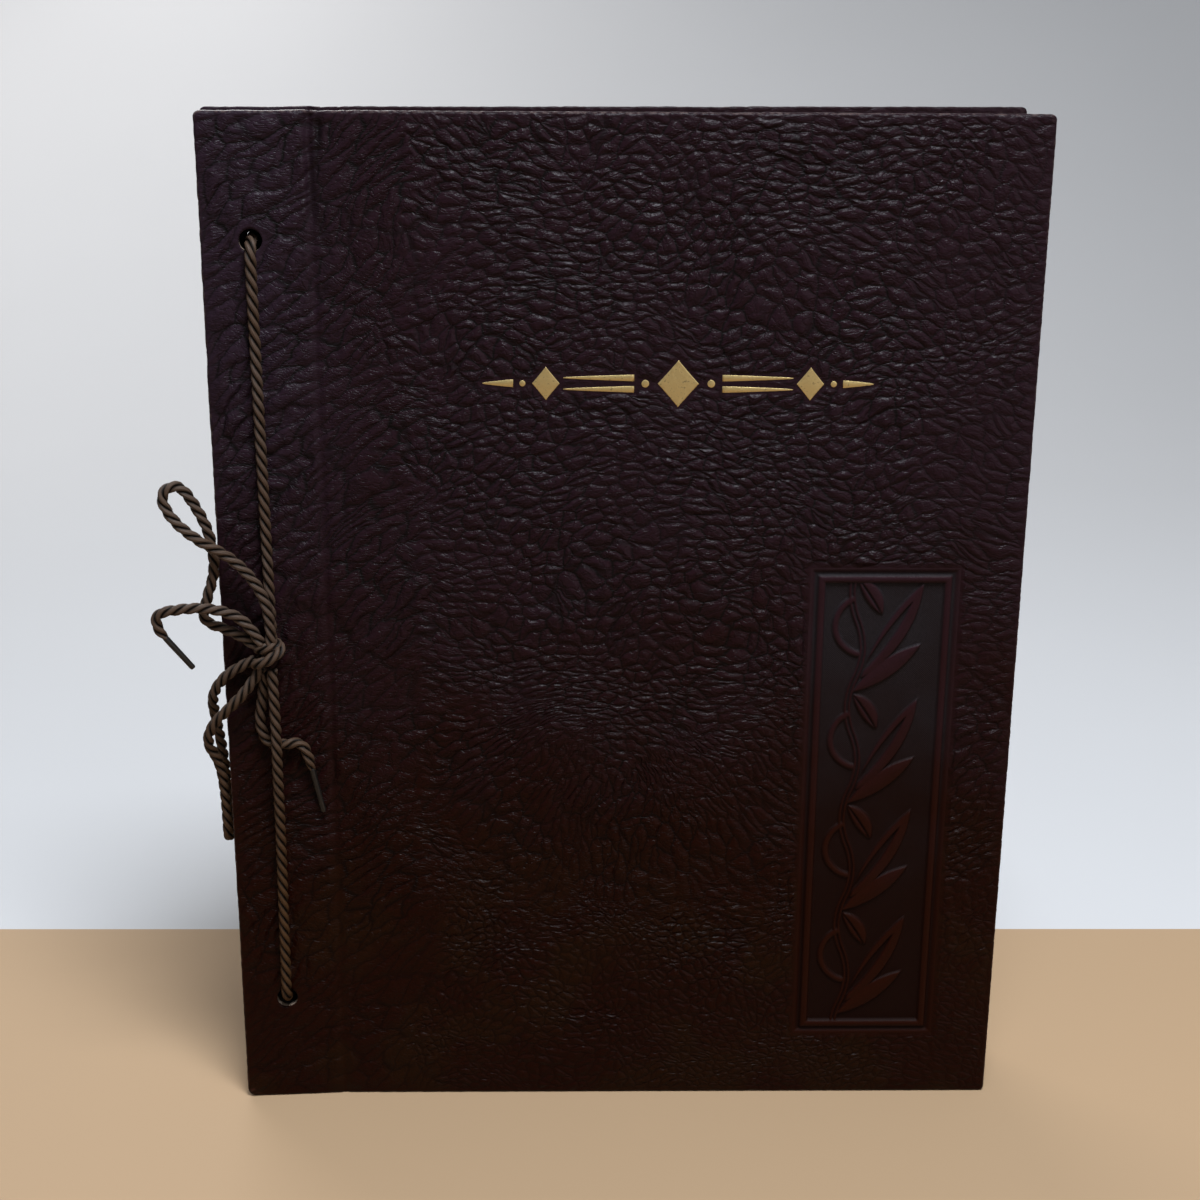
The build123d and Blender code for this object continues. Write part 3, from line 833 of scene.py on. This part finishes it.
def gilt_forms():
    """Outlines of the ornament: lozenges with hollow sides, dots and tapered rules, from its middle, in metres."""
    def hollow(wave):
        return np.sign(wave) * abs(wave) ** 2.05

    def lozenge(at, half_wide, half_high):
        turns = np.linspace(0, 2 * pi, 49)[:-1]
        return np.stack([at + half_wide * hollow(np.cos(turns)), half_high * hollow(np.sin(turns))], -1)

    def dot(at, radius):
        turns = np.linspace(0, 2 * pi, 25)[:-1]
        return np.stack([at + radius * np.cos(turns), radius * np.sin(turns)], -1)

    def rule(thick_at, thin_at, at_z, half_high):
        part = np.linspace(0, 1, 13)
        half = half_high * (1 - part) ** 0.8 + 0.12
        along = thick_at + (thin_at - thick_at) * part
        return np.concatenate([np.stack([along, at_z + half], -1), np.stack([along, at_z - half], -1)[::-1]])

    forms = [lozenge(0, 5.4, 6.2)]
    for side in (-1, 1):
        forms += [dot(side * 8.6, 1.0), *(rule(side * 11.5, side * 30.0, at_z, 0.75) for at_z in (1.5, -1.5))]
        forms += [lozenge(side * 34.5, 3.6, 4.4), dot(side * 40.6, 0.8), rule(side * 43.0, side * 51.0, 0, 0.9)]
    return [form * MM for form in forms]


def gilt_outline(form, shrink):
    """Outline of one form on the cover, drawn in towards its middle."""
    sizes, centre = bpy.context.scene.laced_gilt, form.mean(0)
    return centre + (form - centre) * shrink + (sizes.middle_x, sizes.middle_z)


def face_relief(x, z):
    """How much of the grain stands at a place of the front: pressed flat at edges, crease, holes, panel and gilt."""
    left, right, low, high = panel_edges(with_lip=True)
    beside, above = np.maximum(left - x, x - right), np.maximum(low - z, z - high)
    to_panel = np.hypot(np.maximum(0, beside), np.maximum(0, above))
    to_gilt = np.full(x.shape, 1.0)
    for form in gilt_forms():
        for shrink in (1.0, 0.6, 0.2):
            for at_x, at_z in gilt_outline(form, shrink):
                to_gilt = np.minimum(to_gilt, np.hypot(x - at_x, z - at_z))
    amount = back_relief(x, z) * smooth(to_panel, 0, 1.6 * MM)
    return amount * (0.1 + 0.9 * smooth(to_gilt, 0.5 * MM, 1.6 * MM))


def back_relief(x, z):
    """How much of the grain stands at a place of a plain cover."""
    to_edge = within(x, z, (spine_x, fore_x, 0, cover_height))
    amount = 0.35 + 0.65 * smooth(to_edge, 0, 3.5 * MM)
    amount = amount * (0.6 + 0.4 * smooth(abs(x - crease_x), 0.5 * MM, 2.5 * MM))
    for hole_z in hole_heights:
        gap = np.hypot(x - hole_x, z - hole_z) - bpy.context.scene.laced_covers.hole_diameter / 2
        amount = amount * (0.15 + 0.85 * smooth(gap, 0.2 * MM, 3 * MM))
    return amount


class LACED_OT_covers(bpy.types.Operator):
    """Builds the leather of both covers over their strips and boards"""

    bl_idname = "laced.covers"
    bl_label = "Leather Covers"

    def execute(self, context):
        sizes, look = context.scene.laced_covers, context.scene.laced_leather
        leather, bared = leather_material(look), bared_board_material(look)
        seam, half = crease_x + 0.8 * sizes.crease_width, sizes.crease_width / 2
        opening = panel_edges(with_lip=True)
        by_hole = [s * sizes.hole_diameter / 2 for s in (-HOLE_BLEND, -1, 1, HOLE_BLEND)]
        stops = [hole_x + s for s in by_hole] + [crease_x + s * MM for s in (-1.8, -0.9, 0, 0.9, 1.8)]
        strip_columns = edge_lines(spine_x, seam, sizes.edge_radius, sizes.strip_step, stops, fine_high=False)
        stops = sorted([hole_z + s for hole_z in hole_heights for s in by_hole] + list(opening[2:]))
        rows = edge_lines(0, cover_height, sizes.edge_radius, sizes.grid_step, stops)

        def inner_side(x):
            hinge = sizes.crease_depth + sizes.hinge_thickness
            whole = np.where(x < crease_x, sizes.strip_thickness, sizes.board_thickness)
            return hinge + (whole - hinge) * smooth(abs(x - crease_x), 0.1 * MM, 0.9 * MM)

        def board_back(x):
            return np.full_like(x, sizes.board_thickness)

        def level(x, z):
            return np.zeros_like(x)

        for cover, place, relief, panel, body, worn in (
            ("front", front_place, face_relief, opening, "front_cover", sizes.worn_radius),
            ("back", back_place, back_relief, None, "back_cover", sizes.corner_radius),
        ):
            strip = cover_part(place, strip_columns, rows, True, worn, crease_profile, inner_side, relief)
            strip = strip.build(f"{cover}_strip_leather", leather, bared)
            press_grain(strip, look)
            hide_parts(f"{cover}_binding_strip")
            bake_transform(strip)
            cut = list(panel[:2]) if panel else []
            columns = edge_lines(seam, fore_x, sizes.edge_radius, sizes.grid_step, cut, fine_low=False)
            board = cover_part(place, columns, rows, False, sizes.corner_radius, level, board_back, relief, panel)
            board = board.build(f"{cover}_board_leather", leather, bared)
            press_grain(board, look)
            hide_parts(f"{cover}_board")
            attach(board, body)
        return {"FINISHED"}


def leaf_inside(x, z, base, tip, bulges):
    """Distance inside a pointed leaf between two arcs, negative outside it."""
    along = tip - base
    span = np.hypot(*along)
    across = np.array([-along[1], along[0]]) / span
    depths = []
    for hand, bulge in zip((1, -1), bulges):
        sag = bulge * span
        radius = (span * span / 4 + sag * sag) / (2 * sag)
        centre = (base + tip) / 2 + hand * across * (sag - radius)
        depths.append(radius - np.hypot(x - centre[0], z - centre[1]))
    return np.minimum(*depths)


def arc_distance(x, z, start, through, end):
    """Distance from the arc through three points."""
    rows = np.array([end - start, end - through])
    centre = np.linalg.solve(2 * rows, np.array([end @ end - start @ start, end @ end - through @ through]))
    radius = np.hypot(*(start - centre))
    middle = np.arctan2(*(through - centre)[::-1])

    def bearing(at_x, at_z):
        return (np.arctan2(at_z - centre[1], at_x - centre[0]) - middle + pi) % (2 * pi) - pi

    low, high = sorted((bearing(*start), bearing(*end)))
    on_arc = (bearing(x, z) > low) & (bearing(x, z) < high)
    to_ends = np.minimum(np.hypot(x - start[0], z - start[1]), np.hypot(x - end[0], z - end[1]))
    return np.where(on_arc, abs(np.hypot(x - centre[0], z - centre[1]) - radius), to_ends)


def vine_height(x, z, sizes):
    """Height of the leaf vine over the panel's ground, at places from the inner low corner of the bead."""
    wide, high = sizes.width - 2 * sizes.bead_width, sizes.height - 2 * sizes.bead_width
    repeat = high / sizes.repeats
    scale = np.array([wide, repeat])
    wave = (z - (NODE[1] + STEM_CROSS) * repeat) / (repeat / 2)
    part = wave - np.floor(wave)
    sway = np.where(np.floor(wave) % 2 == 0, 1, -1) * 4 * STEM_SWAY * repeat
    stem_x = (NODE[0] + STEM_CENTRE) * wide + sway * part * (1 - part)
    slope = sway * (1 - 2 * part) / (repeat / 2)
    off_stem = abs(x - stem_x) / np.sqrt(1 + slope * slope) / (sizes.stem_width / 2)
    height = 0.85 * (1 - smooth(off_stem, 0.85, 1.35)) - 0.75 * (1 - smooth(off_stem, 0.15, 0.6))

    def raised(inside, low, high, base, rise, reach):
        """Leaf with a steep side and a softly domed top."""
        return smooth(inside, low * MM, high * MM) * (base + rise * smooth(inside, 0, reach * MM))

    for number in range(sizes.repeats + 1):
        node = (NODE + (0, number)) * scale

        def inside(shares, bulges):
            return leaf_inside(x, z, *(node + shares * scale), bulges)

        curl = arc_distance(x, z, *(node + TENDRIL * scale)) / (0.58 * sizes.tendril_width)
        height = np.maximum(height, 0.8 * np.sqrt(np.clip(1 - curl ** 2, 0, 1)))
        long = raised(inside(LONG_LEAF, LONG_BULGES), -0.12, 0.36, 0.82, 0.18, 1.8)
        long = long - 0.9 * smooth(inside(SLIT, SLIT_BULGES), -0.2 * MM, 0.15 * MM)
        second = raised(inside(SECOND_LEAF, SECOND_BULGES), -0.12, 0.36, 0.8, 0.25, 2.2)
        height = np.maximum(height, np.maximum(long, second))
        if number:
            small = raised(inside(SMALL_LEAF, SMALL_BULGES), -0.15, 0.4, 0.8, 0.2, 1.5)
            small = small - 0.8 * smooth(inside(SMALL_LEAF, RIB_BULGES), -0.15 * MM, 0.12 * MM)
            height = np.maximum(height, small)
    return np.maximum(height, 0)


class LACED_OT_panel(bpy.types.Operator):
    """Builds the embossed panel with its bead and leaf vine, set into the front board's leather"""

    bl_idname = "laced.panel"
    bl_label = "Embossed Panel"

    def execute(self, context):
        sizes = context.scene.laced_panel
        edges, outer = panel_edges(), panel_edges(with_lip=True)
        x, z = np.meshgrid(lines_between(outer[:2], sizes.grid_step), lines_between(outer[2:], sizes.grid_step),
                           indexing="ij")
        inward, groove, bead_width = within(x, z, edges), sizes.groove_width, sizes.bead_width
        ground = -sizes.ground_depth * smooth(inward, 0.3 * MM - groove - sizes.lip_width, -0.55 * groove)
        across = np.clip((inward - bead_width / 2) / (0.56 * bead_width), -1, 1)
        bead = (sizes.bead_rise + sizes.ground_depth) * (1 - across ** 2) ** 0.55
        vine = vine_height(x - edges[0] - bead_width, z - edges[2] - bead_width, sizes)
        vine = vine * smooth(inward, 0.8 * bead_width, 1.05 * bead_width)
        height = ground + np.maximum(bead, sizes.leaf_relief * vine)
        raised = np.maximum(smooth(1 - across ** 2, 0.25, 0.7), smooth(vine, 0.35, 0.75))
        raised = np.maximum(raised, 0.75 * smooth(-inward, 0.5 * groove, 1.4 * groove))
        patch = Patchwork()
        patch.grid(patch.add(front_place(x, -height, z), 0.0, raised))
        panel = patch.build("embossed_panel_leather", panel_material(context.scene.laced_leather))
        if sum(face.normal.y for face in panel.data.polygons) > 0:
            panel.data.flip_normals()
        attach(panel, "front_cover")
        return {"FINISHED"}


class LACED_OT_gilt(bpy.types.Operator):
    """Builds the gilt ornament of lozenges, dots and tapered rules on the front board"""

    bl_idname = "laced.gilt"
    bl_label = "Gilt Ornament"

    def execute(self, context):
        sizes = context.scene.laced_gilt
        patch = Patchwork()
        for form in gilt_forms():
            rings = []
            for shrink, depth in ((1.0, 0.08 * MM), (1.0, -0.6 * sizes.foil), (0.94, -sizes.foil)):
                x, z = gilt_outline(form, shrink).T
                rings.append(patch.add(front_place(x, np.full(len(x), depth), z)))
            patch.bridge(rings, closed=True)
            patch.fill(rings[-1])
        gilt = patch.build("gilt_ornament", gilt_material(sizes))
        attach(gilt, "front_cover")
        return {"FINISHED"}


class LACED_OT_leaves(bpy.types.Operator):
    """Builds the stack of leaves with their uneven edges, and finishes the linings"""

    bl_idname = "laced.leaves"
    bl_label = "Leaves and Linings"

    def execute(self, context):
        look = context.scene.laced_paper
        patch = Patchwork()
        x, z, out = self.outline(look.unevenness)
        thickness = (leaf_high.y - leaf_low.y) / look.leaf_count
        rings = self.edges(patch, look, x, z, out, thickness)
        first_y, last_y = leaf_low.y + 0.08 * thickness, leaf_high.y - 0.08 * thickness
        walls = [self.hole(patch, look, hole_z, first_y, last_y) for hole_z in hole_heights]
        for side, y in ((0, first_y), (-1, last_y)):
            points = np.concatenate(patch.points)[rings[side]]
            inner = np.stack([points[:, 0] - out[0] * MM, np.full(len(x), y), points[:, 2] - out[1] * MM], -1)
            inner = patch.add(inner)
            patch.bridge([rings[side], inner], closed=True)
            patch.fill(inner, *[wall[side] for wall in walls])
        leaves = patch.build("leaf_stack", paper_material("leaf_paper", look.leaf_tone, look.leaf_edge_tone))
        leaves.data.set_sharp_from_angle(angle=SHARP_ANGLE)
        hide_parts("text_block")
        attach(leaves, "spine")
        lining = paper_material("lining_paper", look.lining_tone, times(look.lining_tone, 0.5))
        for name in ("front_lining", "back_lining"):
            sheet = frame["nodes"][name]
            sheet.data.materials.clear()
            sheet.data.materials.append(lining)
        return {"FINISHED"}

    def outline(self, inset, wide_parts=39, high_parts=49):
        """Points round a leaf, and which way is out at each of them."""
        low_x, high_x = leaf_low.x + inset, leaf_high.x - inset
        low_z, high_z = leaf_low.z + inset, leaf_high.z - inset
        level, upright = np.linspace(low_x, high_x, wide_parts + 1), np.linspace(low_z, high_z, high_parts + 1)
        x = np.concatenate([level[:-1], np.full(high_parts, high_x), level[:0:-1], np.full(high_parts, low_x)])
        z = np.concatenate([np.full(wide_parts, low_z), upright[:-1], np.full(wide_parts, high_z), upright[:0:-1]])
        return x, z, (1.0 * (x == high_x) - (x == low_x), 1.0 * (z == high_z) - (z == low_z))

    def edges(self, patch, look, x, z, out, thickness):
        """Rings of the leaves' edges, each leaf a little shifted and wavy, with gaps between the leaves."""
        chance = np.random.default_rng(LEAF_SEED)
        inset, rings = look.unevenness, []
        for leaf in range(look.leaf_count):
            shift = chance.uniform(-0.8, 0.8, 2) * inset
            wave = 0.25 * inset * np.sin((x + z) / (30 * MM) + chance.uniform(0, 6))
            # The gap value paints shade on each leaf's drawn-back edges.
            for part, stand, gap in ((0.08, -0.35, 0.8), (0.3, 0.0, 0.0), (0.7, 0.0, 0.0), (0.92, -0.35, 0.8)):
                reach = stand * inset + wave
                y = np.full(len(x), leaf_low.y + (leaf + part) * thickness)
                points = np.stack([x + out[0] * reach + shift[0], y, z + out[1] * reach + shift[1]], -1)
                rings.append(patch.add(points, 0, gap))
        patch.bridge(rings, closed=True)
        return rings

    def hole(self, patch, look, hole_z, first_y, last_y, sides=32):
        """Rings of a hole through the leaves, wide at both mouths and filled by the lace between them."""
        turns = np.linspace(0, 2 * pi, sides + 1)[:-1]
        mouth, narrow = bpy.context.scene.laced_covers.hole_diameter / 2, look.hole_diameter / 2
        depth, wall = 0.35 * (last_y - first_y), []
        # The last value of each ring paints black shade on the hole's wall.
        half = [(mouth + MM, 0, 0), (mouth, 0, 1), (mouth, depth, 1), (narrow, 1.1 * depth, 1)]
        front = [(radius, first_y + under, dark) for radius, under, dark in half]
        back = [(radius, last_y - under, dark) for radius, under, dark in half[::-1]]
        for radius, y, dark in front + back:
            around = [hole_x + radius * np.cos(turns), np.full(sides, y), hole_z + radius * np.sin(turns)]
            wall.append(patch.add(np.stack(around, -1), 0, dark))
        patch.bridge(wall, closed=True)
        return wall


def lace_place(place):
    """Point of the lace in metres."""
    return place[0] * MM, front_y - place[1] * MM, place[2] * MM


def lace_line(route):
    """Points of the smooth line that a stretch of lace follows, read from its spline."""
    curve = bpy.data.curves.new("lace_line", "CURVE")
    curve.dimensions = "3D"
    spline = curve.splines.new("NURBS")
    spline.points.add(len(route) - 1)
    for point, place in zip(spline.points, route):
        point.co = (*lace_place(place), 1)
    spline.order_u = 3
    spline.use_endpoint_u = True
    spline.resolution_u = 24
    holder = bpy.data.objects.new("lace_line", curve)
    mesh = bpy.data.meshes.new_from_object(holder)
    line = np.array([point.co for point in mesh.vertices])
    line = line[np.append(True, np.hypot.reduce(np.diff(line, axis=0), axis=1) > 1e-6)]
    bpy.data.objects.remove(holder)
    bpy.data.curves.remove(curve)
    bpy.data.meshes.remove(mesh)
    return line


def steps(line):
    """Distance from each point of a line to the next."""
    return np.linalg.norm(np.diff(line, axis=0), axis=1)


def line_length(line):
    """Length of a line in metres."""
    return float(steps(line).sum())


def evenly(line, step):
    """Points at even distances along a line, and how far along it each one is."""
    far = np.concatenate([[0], np.cumsum(steps(line))])
    at = np.linspace(0, far[-1], max(2, int(far[-1] / step)))
    return np.stack([np.interp(at, far, line[:, k]) for k in range(3)], -1), at


def unit(vectors):
    """Vectors of length one with the same directions."""
    return vectors / np.linalg.norm(vectors, axis=-1, keepdims=True)


def carried_sides(line):
    """Two directions across a line at each point that don't turn about it."""
    ahead = unit(np.gradient(line, axis=0))
    across = [unit(np.cross(ahead[0], (0.3, 1.0, 0.2)))]
    for way in ahead[1:]:
        across.append(unit(across[-1] - way * (across[-1] @ way)))
    return np.array(across), np.cross(ahead, across)


class Strands(Patchwork):
    """Patchwork of round strands that keeps the place of each point round and along its strand."""

    def __init__(self):
        super().__init__()
        self.yarn = []

    def add_yarn(self, points, turns, far):
        """Adds rings of points with their turns round a strand and their distances along it."""
        yarn = np.zeros(points.shape)
        yarn[..., 0], yarn[..., 1] = turns[None], far[:, None] / MM
        self.yarn.append(yarn.reshape(-1, 3))
        return self.add(points)

    def tube(self, line, far, inward, radius, sides=9):
        """A strand along a line; inward points to the middle of the lace, where the seam of the yarn is hidden."""
        ahead = unit(np.gradient(line, axis=0))
        inward = unit(inward - ahead * np.sum(inward * ahead, -1, keepdims=True))
        beside = np.cross(ahead, inward)
        turns = np.linspace(-pi, pi, sides + 1)
        ring = np.cos(turns)[None, :, None] * -inward[:, None] + np.sin(turns)[None, :, None] * beside[:, None]
        numbers = self.add_yarn(line[:, None] + ring * radius[:, None, None], turns, far)
        self.grid(numbers)
        for end in (0, -1):
            self.polygon(numbers[end][:-1])

    def lay(self, line, look, end_size=1.0, taper=6 * MM):
        """Three strands laid round a line, thinner towards its end where the end's size says so."""
        line, far = evenly(line, look.step)
        across, over = carried_sides(line)
        near_end = np.minimum(1, end_size + (far[-1] - far) / taper)
        for strand in range(3):
            turn = -2 * pi * far / look.lay + strand * 2 * pi / 3
            outward = np.cos(turn)[:, None] * across + np.sin(turn)[:, None] * over
            middle = line + outward * (look.strand_offset * near_end)[:, None]
            self.tube(middle, far + strand * 40 * MM, -outward, look.strand_radius * near_end)

    def build(self, name, *materials):
        made = super().build(name, *materials)
        layer = made.data.attributes.new("yarn", "FLOAT_VECTOR", "POINT")
        layer.data.foreach_set("vector", np.concatenate(self.yarn).astype(np.float32).ravel())
        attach(made, "spine")
        return made


class LACED_OT_lace(bpy.types.Operator):
    """Builds the twisted lace: the run through the holes, the loops and tails of the bow, its knot and its tips"""

    bl_idname = "laced.lace"
    bl_label = "Tied Lace"

    def execute(self, context):
        look = context.scene.laced_lace
        yarn, sheath = lace_material(look), tip_material(look)
        knot = Strands()
        for wrap in KNOT_WRAPS:
            knot.lay(lace_line(wrap), look)
        knot = knot.build("bow_knot_wraps", yarn)
        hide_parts("bow_knot")
        left_tip = self.tip("left_lace_tip", LEFT_TAIL[-1], LEFT_TIP_END, look, sheath)
        right_tip = self.tip("right_lace_tip", RIGHT_TAIL[-1], RIGHT_TIP_END, look, sheath)
        for node, route, far_end, lay, on_it in (
            ("lace_run", LACE_RUN, "object", "taut", [knot]),
            ("bow_upper_loop", UPPER_LOOP, "object", "loose", []),
            ("bow_lower_loop", LOWER_LOOP, "object", "hanging", []),
            ("bow_left_tail", LEFT_TAIL, "fitting", "loose", [left_tip]),
            ("bow_right_tail", RIGHT_TAIL, "fitting", "loose", [right_tip]),
        ):
            line = lace_line(route)
            strands = Strands()
            strands.lay(line, look, 0.5 if far_end == "fitting" else 1.0)
            piece = strands.build(f"{node}_strands", yarn)
            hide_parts(node)
            line_length(line)
        return {"FINISHED"}

    def tip(self, node, start, end, look, sheath, sides=24):
        """Rolled sheath on the end of a tail, dented along its seam and a little flattened."""
        start, end = np.array(lace_place(start)), np.array(lace_place(end))
        line, far = evenly(np.array([start - 0.8 * MM * unit(end - start), end]), 0.35 * MM)
        across, over = carried_sides(line)
        turns = np.linspace(-pi, pi, sides + 1)[:-1]
        rim = np.minimum(1, 0.82 + np.minimum(far, far[-1] - far) / (1.2 * MM))
        flat = 1 - 0.22 * smooth(far, 2 * MM, far[-1])
        seam = 1 - 0.12 * np.exp(-(turns / 0.22) ** 2)
        wide = look.tip_radius * rim[:, None] * seam[None]
        points = line[:, None] + (wide * np.cos(turns))[..., None] * across[:, None]
        points = points + (wide * np.sin(turns) * flat[:, None])[..., None] * over[:, None]
        strands = Strands()
        numbers = strands.add_yarn(points, turns, far)
        strands.bridge(list(numbers), closed=True)
        for ring in (numbers[0], numbers[-1]):
            strands.polygon(ring)
        tip = strands.build(f"{node}_sheath", sheath)
        tip.data.set_sharp_from_angle(angle=SHARP_ANGLE)
        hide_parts(node)
        return tip


def stage_sheet(name, profile, reach, slant, material):
    """Stage piece that runs from left to right, a little nearer at the right, from its points back and up."""
    patch = Patchwork()
    sides = [patch.add(np.array([(x, y - slant * x, z) for y, z in profile])) for x in (-reach, reach)]
    patch.grid(np.stack(sides))
    patch.build(name, material)


def area_light(name, place, target, size, watts, tone):
    """Square soft light that looks at a target."""
    light = bpy.data.lights.new(name, "AREA")
    light.size, light.energy, light.color = size, watts, tone
    made = bpy.data.objects.new(name, light)
    turn = (Vector(target) - Vector(place)).to_track_quat("-Z", "Y").to_matrix().to_4x4()
    made.matrix_world = Matrix.Translation(place) @ turn
    bpy.context.scene.collection.objects.link(made)


class LACED_OT_stage(bpy.types.Operator):
    """Builds the pale floor and backdrop, the soft lights and the camera"""

    bl_idname = "laced.stage"
    bl_label = "Stage"

    def execute(self, context):
        scene, look = context.scene, context.scene.laced_stage
        scene.view_settings.view_transform = "Standard"
        floor = plain_material("stage_floor", look.floor_tone, 0.7)
        wall = plain_material("stage_wall", look.wall_tone, 0.8)
        reach, turns = 3.0, np.linspace(0, pi / 2, 17)
        bend = zip(look.wall_y + look.bend * (np.sin(turns) - 1), look.bend * (1 - np.cos(turns)))
        stage_sheet("floor", [(-reach, 0), (look.paper_y, 0)], reach, look.slant, floor)
        stage_sheet("backdrop", [(look.paper_y, 0), *bend, (look.wall_y, reach)], reach, look.slant, wall)
        area_light("key_light", (0.10, -0.45, 1.15), (0, 0, 0.15), 0.36, look.key_power, (0.86, 0.93, 1.0))
        area_light("fill_light", (0.9, -1.3, 0.6), (0, 0, 0.12), 1.2, look.fill_power, (1.0, 0.98, 0.96))
        area_light("rear_light", (-0.5, 1.3, 0.9), (0, 0, 0.12), 1.0, look.rear_power, (1.0, 0.99, 0.97))
        scene.world = bpy.data.worlds.new("soft_room")
        scene.world.use_nodes = True
        sky = {"Color": (0.88, 0.94, 1.0, 1), "Strength": look.sky}
        set_inputs(scene.world.node_tree.nodes["Background"], sky)
        self.camera(scene, look)
        return {"FINISHED"}

    def camera(self, scene, look):
        """Camera that sees the book as the reference view does, in a square frame."""
        ahead = Vector((sin(look.yaw) * cos(look.pitch), cos(look.yaw) * cos(look.pitch), -sin(look.pitch)))
        right = Vector((cos(look.yaw), -sin(look.yaw), 0))
        up = right.cross(ahead)
        right, up = right * cos(look.roll) + up * sin(look.roll), up * cos(look.roll) - right * sin(look.roll)
        camera = bpy.data.cameras.new("camera")
        camera.lens, camera.sensor_width, camera.sensor_fit = look.lens, 36.0, "HORIZONTAL"
        camera.clip_start = 0.01
        made = bpy.data.objects.new("camera", camera)
        made.matrix_world = Matrix.Translation(look.eye) @ Matrix((right, up, -ahead)).transposed().to_4x4()
        scene.collection.objects.link(made)
        scene.camera = made


class LACED_PT_book(bpy.types.Panel):
    """Lists the steps that build the book"""

    bl_idname = "LACED_PT_book"
    bl_label = "Laced Book"
    bl_space_type = "VIEW_3D"
    bl_region_type = "UI"
    bl_category = "Laced Book"

    def draw(self, context):
        for operator in OPERATORS:
            self.layout.operator(operator.bl_idname)


GROUPS = {
    "laced_covers": CoverSizes, "laced_leather": LeatherLook, "laced_panel": PanelSizes, "laced_gilt": GiltSizes,
    "laced_lace": LaceLook, "laced_paper": PaperLook, "laced_stage": StageLook,
}
OPERATORS = (LACED_OT_stage, LACED_OT_lace, LACED_OT_covers, LACED_OT_panel, LACED_OT_gilt, LACED_OT_leaves)


def register():
    for kind in (*GROUPS.values(), *OPERATORS, LACED_PT_book):
        bpy.utils.register_class(kind)
    for name, group in GROUPS.items():
        setattr(bpy.types.Scene, name, PointerProperty(type=group))


def unregister():
    for name in GROUPS:
        delattr(bpy.types.Scene, name)
    for kind in (LACED_PT_book, *OPERATORS, *GROUPS.values()):
        bpy.utils.unregister_class(kind)


def main():
    register()
    bpy.ops.laced.stage()
    bpy.ops.laced.lace()
    bpy.ops.laced.covers()
    bpy.ops.laced.panel()
    bpy.ops.laced.gilt()
    bpy.ops.laced.leaves()


if __name__ == "__main__":
    main()
